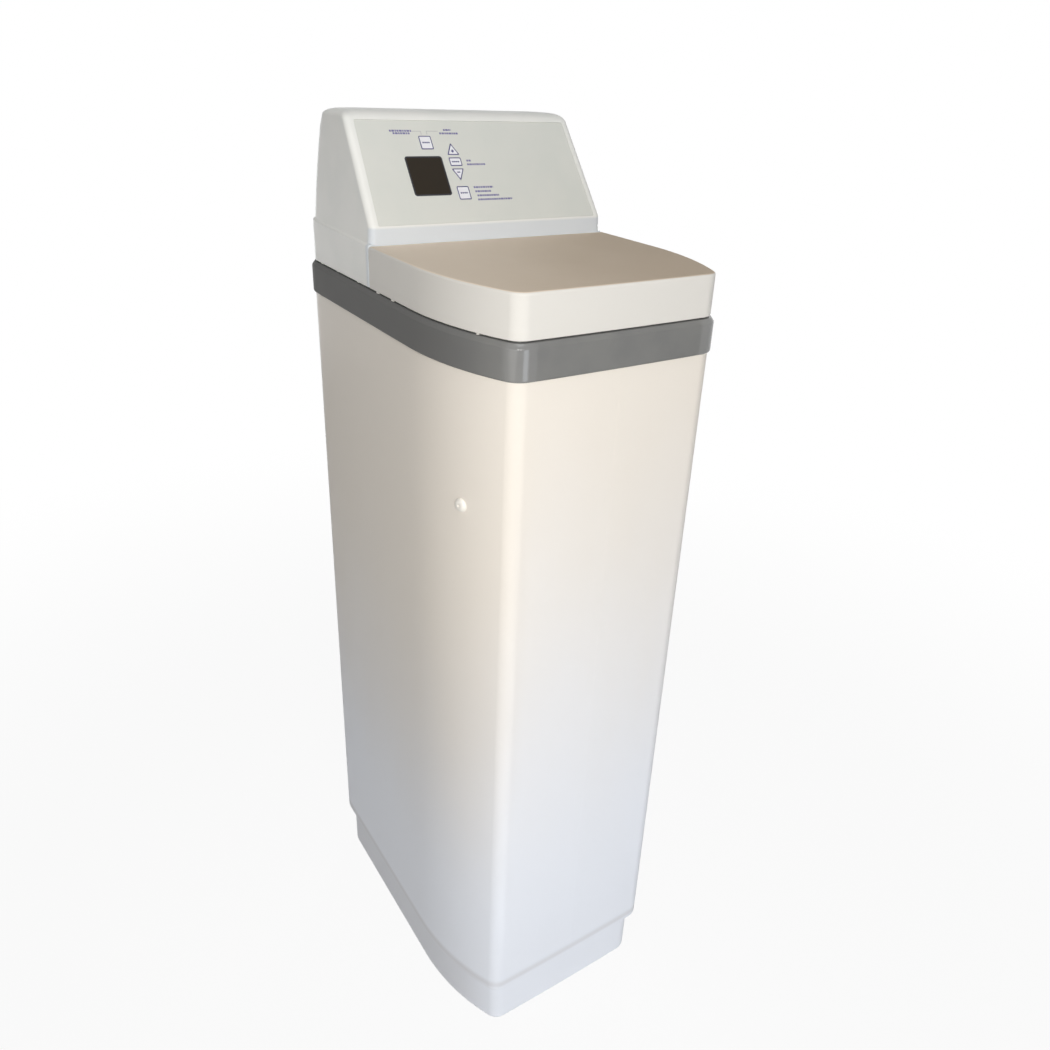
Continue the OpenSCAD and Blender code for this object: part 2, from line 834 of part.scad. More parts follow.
module valve_body() {
    dark = [0.2, 0.2, 0.21];
    color(dark)
        difference() {
            union() {
                z_rod(0, tank_y, [spigot_bottom, valve_base + cut], neck_bore - 0.4);
                z_rod(0, tank_y, [valve_base, valve_base + flange_h], flange_r);
                z_rod(0, tank_y, [valve_base + flange_h - cut, piston_z], column_r);
                y_rod(0, piston_z, [bore_front, housing_back], housing_r);
                for (x = [-port_x, port_x])
                    y_rod(x, port_z, [port_start, port_end], port_r);
                translate([-port_x, port_start, port_z - port_r + 3])
                    cube([2 * port_x, housing_back - port_start - 8, 2 * port_r - 6]);
                x_rod(0, injector_x, side_boss_y, side_boss_z, 14);
                x_rod(brine_boss_x, 0, side_boss_y, side_boss_z, 11);
                z_rod(0, drain_y, [piston_z, drain_boss_top], 13);
            }
            translate([-flange_r, 0, valve_base + flange_h])
                cube([2 * flange_r, bore_front, housing_r * 3]);
            y_rod(0, piston_z, [bore_front - cut, bore_back], bore_r);
            z_rod(0, tank_y, [spigot_bottom - cut, riser_top + cut], riser_r + fit);
            z_rod(0, tank_y, [riser_top, piston_z], riser_bore);
            for (a = [45:90:315])
                translate([22 * cos(a), tank_y + 22 * sin(a), spigot_bottom - cut])
                    cylinder(h = piston_z - spigot_bottom, r = 5);
            for (x = [-port_x, port_x])
                y_rod(x, port_z, [port_start + 6, port_end + cut], port_bore);
            x_rod(-port_x, port_x, port_start + 16, port_z, 9);
            x_rod(bore_r - 6, injector_x + cut, side_boss_y, side_boss_z, 6 + fit);
            x_rod(brine_boss_x - cut, 6 - bore_r, side_boss_y, side_boss_z, 5);
            z_rod(0, drain_y, [piston_z, drain_boss_top + cut], 6);
            bracket_screw_holes([bore_front - cut, bore_front + 10]);
        }
}

// Holes or shanks of the four screws round the piston's axis
module bracket_screw_holes(y, r = screw_r + 0.1) {
    for (a = [45:90:315])
        y_rod(bracket_screw_at * cos(a), piston_z + bracket_screw_at * sin(a), y, r);
}

module drive_cap() {
    color([0.3, 0.3, 0.31])
        difference() {
            union() {
                y_rod(0, piston_z, [cap_front, bore_front], housing_r - 1);
                y_rod(0, piston_z, [bore_front - cut, cap_spigot], bore_r - fit);
            }
            y_rod(0, piston_z, [cap_front - cut, cap_spigot + cut], lead_screw_r + 1.5);
            bracket_screw_holes([cap_front - cut, bore_front + cut]);
        }
}

module seal_spacers() {
    window = [14, 7];
    color([0.85, 0.85, 0.82])
        for (k = [0:stack_parts - 1]) {
            y0 = cap_spigot + seal_w + k * (spacer_w + seal_w);
            difference() {
                y_tube(0, piston_z, [y0, y0 + spacer_w], bore_r - fit, piston_r + 1.5);
                translate([-bore_r - cut, y0 + (spacer_w - window[1]) / 2, piston_z - window[0] / 2])
                    cube([2 * bore_r + 2 * cut, window[1], window[0]]);
                translate([-window[0] / 2, y0 + (spacer_w - window[1]) / 2, piston_z - bore_r - cut])
                    cube([window[0], window[1], 2 * bore_r + 2 * cut]);
            }
        }
}

module lip_seals() {
    color([0.1, 0.1, 0.1])
        for (k = [0:stack_parts]) {
            y0 = cap_spigot + k * (spacer_w + seal_w);
            y_tube(0, piston_z, [y0, y0 + seal_w], bore_r - fit, piston_r + play);
        }
}

module piston() {
    land = 11;
    waist_r = 15;
    color([0.93, 0.93, 0.9])
        difference() {
            union() {
                y_rod(0, piston_z, [piston_front, piston_front + piston_len], waist_r);
                for (k = [0:2])
                    let (y0 = piston_front + k * (piston_len - land) / 2)
                        y_rod(0, piston_z, [y0, y0 + land], piston_r);
            }
            y_rod(0, piston_z, [piston_front - cut, lead_screw_end + 2], lead_screw_r + play);
        }
}

module drive_bracket() {
    color([0.35, 0.35, 0.36]) {
        difference() {
            translate([motor_x - 24, bracket_y[1], 0])
                rotate([90, 0, 0])
                    linear_extrude(bracket_y[1] - bracket_y[0])
                        polygon(rounded([[0, piston_z - 36], [66 - motor_x, piston_z - 36],
                                         [66 - motor_x, piston_z + 24], [40 - motor_x, motor_z + 24],
                                         [0, motor_z + 24]], 6));
            y_rod(0, piston_z, [bracket_y[0] - cut, bracket_y[1] + cut], hub_r + 0.7);
            y_rod(motor_x, motor_z, [bracket_y[0] - cut, bracket_y[1] + cut], shaft_r + 1.5);
            bracket_screw_holes([bracket_y[0] - cut, bracket_y[1] + cut]);
        }
        y_rod(reduction_x, reduction_z, [layer_a[0] - 2, bracket_y[0] + cut], axle_r);
    }
}

module bracket_screws() {
    head_h = 2;
    color("silver") {
        bracket_screw_holes([bracket_y[0] - head_h, bracket_y[0]], 3.6);
        bracket_screw_holes([bracket_y[0] - cut, bore_front + 9], screw_r);
    }
}

module drive_motor() {
    color("silver")
        difference() {
            union() {
                y_rod(motor_x, motor_z, [bracket_y[1], motor_back], motor_r);
                y_rod(motor_x, motor_z, [motor_back - cut, motor_back + 4], 5);
            }
            y_rod(motor_x, motor_z, [bracket_y[1] - cut, bracket_y[1] + 9], shaft_r + play);
        }
}

module motor_pinion() {
    color("goldenrod") {
        gear(pinion_teeth, motor_x, motor_z, layer_b, reduction_to_motor + 180 + 180 / pinion_teeth);
        y_rod(motor_x, motor_z, [layer_b[0] - cut, bracket_y[1] + 8], shaft_r);
    }
}

module reduction_gear() {
    color([0.92, 0.92, 0.88])
        difference() {
            union() {
                gear(pinion_teeth, reduction_x, reduction_z, [layer_a[0], layer_b[0] + cut],
                     main_to_reduction + 180 + 180 / pinion_teeth);
                gear(wheel_teeth, reduction_x, reduction_z, layer_b, reduction_to_motor);
            }
            y_rod(reduction_x, reduction_z, [layer_a[0] - cut, layer_b[1] + cut], axle_r + play);
        }
}

module main_gear() {
    color([0.92, 0.92, 0.88]) {
        gear(main_teeth, 0, piston_z, layer_a, main_to_reduction);
        y_rod(0, piston_z, [layer_a[1] - cut, bracket_y[0] - cut], hub_r);
        y_rod(0, piston_z, [layer_a[0] - 2, lead_screw_end], lead_screw_r);
    }
}

module injector() {
    color("firebrick")
        difference() {
            x_rod(bore_r + 12, injector_x, side_boss_y, side_boss_z, 6);
            x_rod(bore_r + 8, injector_x + cut, side_boss_y, side_boss_z, 2);
        }
}

module injector_cap() {
    color([0.25, 0.25, 0.26]) {
        x_rod(injector_x, injector_x + 6, side_boss_y, side_boss_z, 17);
        translate([injector_x + 6 - cut, side_boss_y, side_boss_z])
            rotate([0, 90, 0])
                cylinder(h = 8 + cut, r = 11, $fn = 6);
    }
}

module brine_elbow() {
    color([0.15, 0.15, 0.16])
        difference() {
            union() {
                x_rod(brine_elbow_x, brine_boss_x, side_boss_y, side_boss_z, 8.5);
                translate([brine_elbow_x, side_boss_y, side_boss_z])
                    sphere(8.5);
                z_rod(brine_elbow_x, side_boss_y, [brine_elbow_z, side_boss_z], 8.5);
                z_rod(brine_elbow_x, side_boss_y, [brine_elbow_z, brine_elbow_z + 10], 10.5);
            }
            z_rod(brine_elbow_x, side_boss_y, [brine_elbow_z + 4, side_boss_z], 4);
            x_rod(brine_elbow_x, brine_boss_x + cut, side_boss_y, side_boss_z, 4);
        }
}

module drain_elbow() {
    color([0.15, 0.15, 0.16])
        difference() {
            union() {
                z_rod(0, drain_y, [drain_boss_top, drain_z], 10);
                translate([0, drain_y, drain_z])
                    sphere(10);
                y_rod(0, drain_z, [drain_y, drain_y + 40], 10);
                y_rod(0, drain_z, [drain_y, drain_end], drain_r);
            }
            y_rod(0, drain_z, [drain_y, drain_end + cut], 4);
            z_rod(0, drain_y, [drain_boss_top - cut, drain_z], 4);
        }
}

module meter_cage() {
    bar = 3;
    color([0.3, 0.3, 0.31]) {
        for (y = [152, 172])
            intersection() {
                y_rod(-port_x, port_z, [y, y + bar], port_bore - 0.1);
                union() {
                    translate([-port_x - port_bore, y, port_z - bar / 2])
                        cube([2 * port_bore, bar, bar]);
                    translate([-port_x - bar / 2, y, port_z - port_bore])
                        cube([bar, bar, 2 * port_bore]);
                }
            }
        y_rod(-port_x, port_z, [153, 174], 1.2);
    }
}

module meter_turbine() {
    y = [157, 170];
    vane_t = 1.4;
    color("orange")
        difference() {
            union() {
                y_rod(-port_x, port_z, y, 4);
                for (a = [0:60:300])
                    translate([-port_x, y[0], port_z])
                        rotate([0, a, 0])
                            translate([0, 0, -vane_t / 2])
                                cube([11.6, y[1] - y[0], vane_t]);
            }
            y_rod(-port_x, port_z, [y[0] - cut, y[1] + cut], 1.5);
        }
}

module union_nuts() {
    grips = 8;
    color([0.2, 0.2, 0.21])
        for (x = [-port_x, port_x])
            difference() {
                union() {
                    y_rod(x, port_z, nut_y, nut_r - 1.5);
                    for (k = [0:grips - 1])
                        translate([x, nut_y[0], port_z])
                            rotate([0, k * 360 / grips, 0])
                                translate([nut_r - 5, 0, -3])
                                    cube([5, nut_y[1] - nut_y[0], 6]);
                }
                y_rod(x, port_z, [nut_y[0] - cut, nut_y[1] + cut], port_r + fit);
            }
}

module bypass_body() {
    color([0.2, 0.2, 0.21])
        difference() {
            union() {
                for (x = [-port_x, port_x]) {
                    y_rod(x, port_z, [port_end + fit, bypass_end], port_r);
                    y_rod(x, port_z, [bypass_end - 8, bypass_end], port_r + 3);
                    y_rod(x, port_z, [bypass_end - cut, tail_end], tail_r);
                    z_rod(x, rotor_y, rotor_house, rotor_house_r);
                }
                x_rod(-port_x, port_x, rotor_y, port_z, cross_r);
            }
            for (x = [-port_x, port_x]) {
                y_rod(x, port_z, [port_end, bypass_end - 4], port_bore);
                y_rod(x, port_z, [bypass_end - 6, tail_end + cut], tail_bore);
                z_rod(x, rotor_y, [rotor_house[0] + 3, rotor_house[1] + cut], rotor_r + play);
            }
            x_rod(-port_x, port_x, rotor_y, port_z, 8);
        }
}

module rotor_caps() {
    color([0.3, 0.3, 0.31])
        for (x = [-port_x, port_x])
            z_tube(x, rotor_y, [rotor_house[1], rotor_house[1] + rotor_cap_h], rotor_house_r, 6 + play);
}

// Bypass rotor: ported plug, stem and pointed handle
module rotor(x) {
    top = rotor_house[1] + rotor_cap_h + 0.6;
    color("crimson")
        translate([x, rotor_y, 0])
            difference() {
                union() {
                    z_rod(0, 0, [rotor_house[0] + 3 + play, rotor_house[1] - 2], rotor_r);
                    z_rod(0, 0, [rotor_house[1] - 3, top + cut], 6);
                    prism(rounded([[-8, -handle_reach + 4], [8, -handle_reach + 4], [8, 8],
                                   [0, handle_reach], [-8, 8]], 1.5), top, top + handle_t);
                }
                y_rod(0, port_z, [-2 * rotor_r, 2 * rotor_r], 10);
            }
}

module inlet_rotor() {
    rotor(port_x);
}

module outlet_rotor() {
    rotor(-port_x);
}

module brine_well() {
    slots = 6;
    color([0.9, 0.9, 0.88])
        difference() {
            union() {
                in_well()
                    z_tube(0, 0, [floor_t, well_top], well_r, well_r - well_wall);
                on_bolt()
                    translate([0, 0, -cabinet_wall - well_gap - well_wall])
                        cylinder(h = well_gap + well_wall - boss_gap, r = boss_r);
            }
            in_well()
                for (k = [0:slots / 2 - 1])
                    rotate(k * 360 / slots)
                        translate([-2 * well_r, -3, floor_t + 12])
                            cube([4 * well_r, 6, 60]);
            on_bolt()
                translate([0, 0, -30])
                    cylinder(h = 30, r = bolt_r + fit);
            y_rod(well_x, line_z, [well_y + elbow_reach - 2, well_y + well_r + cut], line_r + 1);
        }
}

module well_cap() {
    plug = 12;
    color([0.9, 0.9, 0.88])
        in_well()
            difference() {
                union() {
                    z_rod(0, 0, [well_top + 0.1, well_top + 3], well_r);
                    z_rod(0, 0, [well_top - plug, well_top + cut], well_r - well_wall - play);
                    translate([-12, -2, well_top + 3 - cut])
                        cube([24, 4, 8 + cut]);
                }
                z_rod(0, 0, [well_top - plug - cut, well_top], well_r - well_wall - 3);
            }
}

module well_bolt() {
    reach = cabinet_wall + well_gap + well_wall + 8;
    color("white")
        on_bolt()
            difference() {
                union() {
                    cylinder(h = bolt_head_h, r = bolt_head_r);
                    translate([0, 0, -reach])
                        cylinder(h = reach + cut, r = bolt_r);
                }
                translate([-bolt_head_r, -0.8, bolt_head_h - 1.4])
                    cube([2 * bolt_head_r, 1.6, 2]);
            }
}

module well_nut() {
    start = cabinet_wall + well_gap + well_wall + 0.9;
    color("white")
        on_bolt()
            translate([0, 0, -start - 5])
                difference() {
                    cylinder(h = 5, r = 7.5, $fn = 6);
                    translate([0, 0, -cut])
                        cylinder(h = 5 + 2 * cut, r = bolt_r + 0.05);
                }
}

module brine_pickup() {
    cage = [8, 62];
    color([0.88, 0.88, 0.86])
        in_well()
            translate([0, pickup_dy, 0])
                difference() {
                    union() {
                        z_rod(0, 0, [cage[1] - 10, line_z], pickup_r);
                        z_rod(0, 0, cage, 13);
                        translate([0, 0, line_z])
                            sphere(8);
                        y_rod(0, line_z, [0, elbow_reach - pickup_dy], 8);
                    }
                    z_rod(0, 0, [cage[0] + 3, cage[1] - 3], 10.5);
                    z_rod(0, 0, [cage[1] - 6, line_z], pickup_bore);
                    y_rod(0, line_z, [0, elbow_reach - pickup_dy - 3], pickup_bore);
                    for (a = [0, 60, 120])
                        rotate(a)
                            translate([-20, -1.5, cage[0] + 8])
                                cube([40, 3, cage[1] - cage[0] - 20]);
                }
}

module safety_valve() {
    color([0.15, 0.15, 0.16])
        in_well()
            difference() {
                union() {
                    z_rod(0, pickup_dy, [guide_z[0] - 18, guide_z[1] + 10], 11);
                    hull() {
                        z_rod(0, pickup_dy, guide_z, 6);
                        z_rod(rod_dx, rod_dy, guide_z, 6);
                    }
                }
                z_rod(0, pickup_dy, [0, well_top], pickup_r + 0.05);
                z_rod(rod_dx, rod_dy, [0, well_top], rod_r + 0.4);
            }
}

module brine_float() {
    color([0.95, 0.6, 0.15])
        in_well()
            translate([rod_dx, rod_dy, 0]) {
                z_rod(0, 0, rod_z, rod_r);
                z_rod(0, 0, float_z, float_r);
                z_rod(0, 0, [float_z[0] - 6, float_z[0] + cut], 5);
                z_rod(0, 0, [float_z[1] - cut, float_z[1] + 6], 5);
                z_rod(0, 0, [guide_z[1] + play, guide_z[1] + 6], 4);
            }
}

module brine_line() {
    sides = 8;
    per_run = 4;
    runs = len(line_route) - 1;
    samples = concat([for (i = [0:runs - 1], k = [0:per_run - 1]) route_point(line_route, i, k / per_run)],
                     [line_route[runs]]);
    n = len(samples);
    rings = [for (i = [0:n - 1]) let (
        along = i == 0 ? [0, 1, 0] : i == n - 1 ? [0, 0, 1] : unit(samples[i + 1] - samples[i - 1]),
        across = unit(cross(along, [1, 0, 0])), over = cross(along, across))
        [for (k = [0:sides - 1]) let (a = k * 360 / sides)
            samples[i] + line_r * (cos(a) * across + sin(a) * over)]];
    color([0.85, 0.87, 0.88])
        loft(rings);
}

module overflow_elbow() {
    face = overflow_y + 2;
    drop = 40;
    shoulder = 12;
    bend_y = face + 20;
    color([0.2, 0.2, 0.21])
        difference() {
            union() {
                y_rod(overflow_x, overflow_z, [face - 20, bend_y], 10);
                y_rod(overflow_x, overflow_z, [face, face + 4], 17);
                translate([overflow_x, bend_y, overflow_z])
                    sphere(10);
                z_rod(overflow_x, bend_y, [overflow_z - shoulder, overflow_z], 10);
                z_rod(overflow_x, bend_y, [overflow_z - drop, overflow_z], 8);
            }
            y_rod(overflow_x, overflow_z, [face - 20 - cut, bend_y], 6);
            z_rod(overflow_x, bend_y, [overflow_z - drop - cut, overflow_z], 6);
        }
}

module overflow_gasket() {
    color([0.1, 0.1, 0.1])
        y_tube(overflow_x, overflow_z, [overflow_y, overflow_y + 2], 16, 10 + fit);
}

module overflow_nut() {
    inside = overflow_y - cabinet_wall;
    color([0.2, 0.2, 0.21])
        translate([overflow_x, inside, overflow_z])
            rotate([90, 0, 0])
                difference() {
                    cylinder(h = 8, r = 16, $fn = 6);
                    translate([0, 0, -cut])
                        cylinder(h = 8 + 2 * cut, r = 10 + 0.05);
                }
}

cabinet();
collar();
salt_lid();
head_cover();
fascia();
display_window();
display_module();
circuit_board();
board_parts();
key_switches();
board_screws();
power_socket();
key_top();
key_up();
key_middle();
key_down();
key_bottom();
resin_tank();
tank_boot();
resin_bed();
riser_tube();
lower_basket();
upper_basket();
neck_seal();
valve_body();
drive_cap();
seal_spacers();
lip_seals();
piston();
drive_bracket();
bracket_screws();
drive_motor();
motor_pinion();
reduction_gear();
main_gear();
injector();
injector_cap();
brine_elbow();
drain_elbow();
meter_cage();
meter_turbine();
union_nuts();
bypass_body();
rotor_caps();
inlet_rotor();
outlet_rotor();
brine_well();
well_cap();
well_bolt();
well_nut();
brine_pickup();
safety_valve();
brine_float();
brine_line();
overflow_elbow();
overflow_gasket();
overflow_nut();
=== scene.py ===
"""Looks of a domestic cabinet water softener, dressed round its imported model."""

from __future__ import annotations

import functools
import itertools
import json
import logging
import math
from contextlib import contextmanager
from dataclasses import dataclass, replace
from enum import Enum
from typing import Any, Iterable, Iterator, Mapping, Optional, Sequence, Union

import bmesh
import bpy
from bmesh.types import BMEdge, BMesh, BMFace, BMVert
from mathutils import Matrix, Vector

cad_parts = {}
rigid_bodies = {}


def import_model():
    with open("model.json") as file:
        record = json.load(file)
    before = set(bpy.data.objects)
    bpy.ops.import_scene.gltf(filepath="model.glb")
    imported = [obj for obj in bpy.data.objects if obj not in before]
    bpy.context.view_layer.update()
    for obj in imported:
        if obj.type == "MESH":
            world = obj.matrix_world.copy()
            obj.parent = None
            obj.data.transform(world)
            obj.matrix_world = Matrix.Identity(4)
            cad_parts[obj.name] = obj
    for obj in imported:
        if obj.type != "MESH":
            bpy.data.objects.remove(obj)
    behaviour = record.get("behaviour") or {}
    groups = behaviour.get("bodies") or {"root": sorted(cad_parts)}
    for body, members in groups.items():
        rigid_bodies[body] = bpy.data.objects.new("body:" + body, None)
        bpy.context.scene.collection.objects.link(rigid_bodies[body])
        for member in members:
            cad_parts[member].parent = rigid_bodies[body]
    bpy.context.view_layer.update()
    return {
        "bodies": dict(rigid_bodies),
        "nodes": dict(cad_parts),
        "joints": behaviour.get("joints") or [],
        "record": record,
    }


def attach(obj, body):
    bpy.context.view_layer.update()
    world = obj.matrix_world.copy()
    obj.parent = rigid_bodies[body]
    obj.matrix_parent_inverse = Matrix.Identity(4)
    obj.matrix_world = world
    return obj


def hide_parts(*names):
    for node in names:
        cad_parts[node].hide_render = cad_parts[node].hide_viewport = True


LOG = logging.getLogger("softener")
MM = 0.001
PHOTO_PX = 1050
SHARP_ANGLE = math.radians(32)
UPRIGHT = Matrix(((1, 0, 0, 0), (0, 0, -1, 0), (0, 1, 0, 0), (0, 0, 0, 1)))
Point = tuple[float, float]
Colour = tuple[float, float, float, float]


def mm(*values: float) -> Vector:
    """Return millimetres as a vector in metres."""
    return Vector(values) * MM


def srgb(red: int, green: int, blue: int) -> Colour:
    """Turn an 8-bit screen colour into a linear colour.

    Args:
        red: Red, 0 to 255.
        green: Green, 0 to 255.
        blue: Blue, 0 to 255.

    Returns:
        The linear colour with full alpha.
    """

    def linear(channel: int) -> float:
        """Return one channel's linear value."""
        share = channel / 255
        return share / 12.92 if share <= 0.04045 else ((share + 0.055) / 1.055) ** 2.4

    return (linear(red), linear(green), linear(blue), 1.0)


class Wire:
    """A shader output that takes part in Python arithmetic."""

    def __init__(self, shop: "Shader", socket: bpy.types.NodeSocket) -> None:
        """Keep the socket and the shader it belongs to."""
        self.shop = shop
        self.socket = socket

    def _maths(self, operation: str, left: "Level", right: "Level") -> "Wire":
        """Add one Math node and return its output."""
        return self.shop.node("ShaderNodeMath", {"operation": operation}, {0: left, 1: right})

    def __add__(self, other: "Level") -> "Wire":
        """Return self + other."""
        return self._maths("ADD", self, other)

    __radd__ = __add__

    def __sub__(self, other: "Level") -> "Wire":
        """Return self - other."""
        return self._maths("SUBTRACT", self, other)

    def __rsub__(self, other: "Level") -> "Wire":
        """Return other - self."""
        return self._maths("SUBTRACT", other, self)

    def __mul__(self, other: "Level") -> "Wire":
        """Return self * other."""
        return self._maths("MULTIPLY", self, other)

    __rmul__ = __mul__

    def __abs__(self) -> "Wire":
        """Return the absolute value."""
        return self._maths("ABSOLUTE", self, 0.0)


Level = Union[Wire, float]


class Shader:
    """One node tree, with a single method that makes its nodes."""

    def __init__(self, tree: bpy.types.NodeTree) -> None:
        """Keep the tree that the nodes go into."""
        self.tree = tree

    @classmethod
    def material(cls, name: str) -> tuple["Shader", bpy.types.Material]:
        """Start a new material.

        Args:
            name: Name of the material.

        Returns:
            Its shader and the material.
        """
        made = bpy.data.materials.new(name)
        made.use_nodes = True
        return cls(made.node_tree), made

    def node(
        self,
        kind: str,
        settings: Optional[Mapping[str, Any]] = None,
        sockets: Optional[Mapping[Union[int, str], Any]] = None,
        out: Union[int, str] = 0,
    ) -> Wire:
        """Make a node, set it up and wire its inputs.

        Args:
            kind: Blender's type name of the node.
            settings: Properties of the node, set before its sockets.
            sockets: Values or wires for its inputs, by index or name.
            out: Output to return, by index or name.

        Returns:
            The chosen output.
        """
        made = self.tree.nodes.new(kind)
        for key, value in (settings or {}).items():
            setattr(made, key, value)
        for key, value in (sockets or {}).items():
            self.feed(made.inputs[key], value)
        return Wire(self, made.outputs[out])

    def feed(self, socket: bpy.types.NodeSocket, value: Any) -> None:
        """Link a wire to a socket, or set the socket's own value.

        Args:
            socket: Input of a node.
            value: Wire, number, colour or vector.
        """
        if isinstance(value, Wire):
            self.tree.links.new(value.socket, socket)
        else:
            socket.default_value = value

    def coords(self) -> Wire:
        """Return the object's own coordinates, in metres."""
        return self.node("ShaderNodeTexCoord", out="Object")

    def axis(self, vector: Wire, name: str) -> Wire:
        """Return one component, X, Y or Z, of a vector."""
        return self.node("ShaderNodeSeparateXYZ", None, {0: vector}, name)

    def noise(self, size: float, detail: float = 2.0, stretch: Sequence[float] = (1, 1, 1)) -> Wire:
        """Return noise between 0 and 1.

        Args:
            size: Size of its features in metres.
            detail: Octaves of finer noise.
            stretch: Scale of the pattern along each axis.

        Returns:
            The noise as a level.
        """
        place = self.node("ShaderNodeMapping", None, {0: self.coords(), "Scale": stretch})
        sockets = {"Vector": place, "Scale": 1 / size, "Detail": detail}
        return self.node("ShaderNodeTexNoise", None, sockets)

    def step(self, value: Level, low: float, high: float) -> Wire:
        """Return a smooth rise from 0 at low to 1 at high."""
        return self.node(
            "ShaderNodeMapRange", {"interpolation_type": "SMOOTHSTEP"}, {0: value, 1: low, 2: high}
        )

    def blend(self, share: Level, first: Any, second: Any) -> Wire:
        """Return a colour mixed from two by a share."""
        return self.node(
            "ShaderNodeMix", {"data_type": "RGBA"}, {0: share, 6: first, 7: second}, 2
        )

    def bump(self, height: Wire, depth: float) -> Wire:
        """Return a normal bent by a height.

        Args:
            height: Height between 0 and 1.
            depth: Depth of the full height in metres.

        Returns:
            The bent normal.
        """
        return self.node("ShaderNodeBump", None, {"Strength": 1.0, "Distance": depth, "Height": height})

    def surface(self, **sockets: Any) -> None:
        """Set the inputs of the material's surface.

        Args:
            sockets: Values or wires by the input's name, with _ for a space.
        """
        surface = self.tree.nodes["Principled BSDF"]
        for key, value in sockets.items():
            self.feed(surface.inputs[key.replace("_", " ")], value)


@dataclass(frozen=True)
class MouldedPlastic:
    """A moulded plastic with soft clouding and a fine grain."""

    name: str
    colour: Colour
    tone: Colour
    roughness: float = 0.4
    cloud: float = 0.05
    grain: float = 0.0007
    grit: float = 0.06
    depth: float = 0.00002
    specular: float = 0.5

    def make(self) -> bpy.types.Material:
        """Make the material.

        Returns:
            The material.
        """
        shop, made = Shader.material(self.name)
        clouds = shop.noise(self.cloud, 3.0)
        grain = shop.noise(self.grain, 1.0)
        shop.surface(
            Base_Color=self.with_painted_shade(shop, shop.blend(shop.step(clouds, 0.35, 0.7), self.colour, self.tone)),
            Roughness=self.roughness + (clouds - 0.5) * 0.12 + (grain - 0.5) * self.grit,
            Normal=shop.bump(grain, self.depth),
            Specular_IOR_Level=self.specular,
        )
        return made

    def with_painted_shade(self, shop: Shader, base: Wire) -> Wire:
        """Return the colour as it is; a finish that paints shade over its piece does it here."""
        return base


@dataclass(frozen=True)
class BlownCabinet:
    """Blown polyethylene with painted light: a cool colour low down as a painted floor bounce, a warm
    colour above as painted key light that reaches lower on the upper left side as painted shade, and
    painted shade in a line just above the plinth's step and over the plinth's sides.
    """

    name: str
    warm: Colour
    cool: Colour
    painted_shade: Colour
    light_fade: Point = (0.15, 0.95)
    left: Point = (0.09, 0.15)
    left_shade_rise: Point = (0.15, 0.5)
    lip_shade_low: Point = (0.079, 0.086)
    lip_shade_high: Point = (0.087, 0.096)
    shaded_flank: Point = (0.115, 0.14)
    plinth: Point = (0.078, 0.09)

    def make(self) -> bpy.types.Material:
        """Make the material.

        Returns:
            The material.
        """
        shop, made = Shader.material(self.name)
        place = shop.coords()
        height = shop.axis(place, "Z")
        wave = shop.noise(0.09, 2.0, (1, 1, 0.35))
        grain = shop.noise(0.0011, 1.0)
        across = shop.axis(place, "X")
        # Painted light: the colour runs from a cool painted floor bounce low down to a warm painted key
        # light above; on the upper left side the warm, darker colour reaches lower as painted shade.
        left = shop.step(0 - across, *self.left) * shop.step(height, *self.left_shade_rise)
        light_drift = height + (wave - 0.5) * 0.12 + left * 0.2
        colour = shop.blend(shop.step(light_drift, *self.light_fade), self.cool, self.warm)
        # Painted shade: a soft darker line just above the plinth's step, where the lip's shade falls, and
        # darker sides of the plinth.
        line = shop.step(height, *self.lip_shade_low) * (1 - shop.step(height, *self.lip_shade_high))
        side = shop.step(abs(across), *self.shaded_flank) * (1 - shop.step(height, *self.plinth))
        shop.surface(
            Base_Color=shop.blend(line * 0.5 + side * 0.45, colour, self.painted_shade),
            Roughness=0.34 + (wave - 0.5) * 0.1 + (grain - 0.5) * 0.05,
            Normal=shop.bump(wave * 0.94 + grain * 0.06, 0.0005),
            Specular_IOR_Level=0.1,
        )
        return made


@dataclass(frozen=True)
class TintedShadedLid:
    """The lid's white moulding, whose broad flat top is painted a warm taupe, partly its own tint and
    partly painted shade, running from painted light at the back left to painted shade at the front right.
    """

    name: str
    side: Colour
    top: Colour
    shaded: Colour
    top_z: float

    def make(self) -> bpy.types.Material:
        """Make the material.

        Returns:
            The material.
        """
        shop, made = Shader.material(self.name)
        place = shop.coords()
        grain = shop.noise(0.0006, 1.0)
        clouds = shop.noise(0.08, 2.0)
        flat = shop.step(shop.axis(place, "Z"), self.top_z - 0.0011, self.top_z - 0.0002)
        # Painted light and shade: the top is lighter towards the back left and darker towards the front
        # right.
        across = shop.axis(place, "X") - shop.axis(place, "Y") * 0.6 + (clouds - 0.5) * 0.06
        painted_top_light = shop.blend(shop.step(across, -0.13, 0.2), self.top, self.shaded)
        shop.surface(
            Base_Color=shop.blend(flat, self.side, painted_top_light),
            Roughness=0.36 + flat * 0.24 + (clouds - 0.5) * 0.08,
            Normal=shop.bump(grain, 0.00002),
            Specular_IOR_Level=0.08,
        )
        return made


@dataclass(frozen=True, kw_only=True)
class FootedHood(MouldedPlastic):
    """The hood's white moulding, with painted shade, darker and cooler, on the upright foot under its
    sloped front.
    """

    foot: Colour
    edge: Point

    def with_painted_shade(self, shop: Shader, base: Wire) -> Wire:
        """Paint shade, darker and cooler, on the foot.

        Args:
            shop: Shader to build in.
            base: The hood's colour.

        Returns:
            The colour with the foot's in its place.
        """
        place = shop.coords()
        y, z = self.edge
        # Painted shade: the upright foot under the sloped front, tucked behind the lid, gets a darker,
        # cooler colour.
        low = 1 - shop.step(shop.axis(place, "Z"), z - 0.003, z + 0.001)
        foot = low * (1 - shop.step(shop.axis(place, "Y"), y, y + 0.006))
        return shop.blend(foot, base, self.foot)


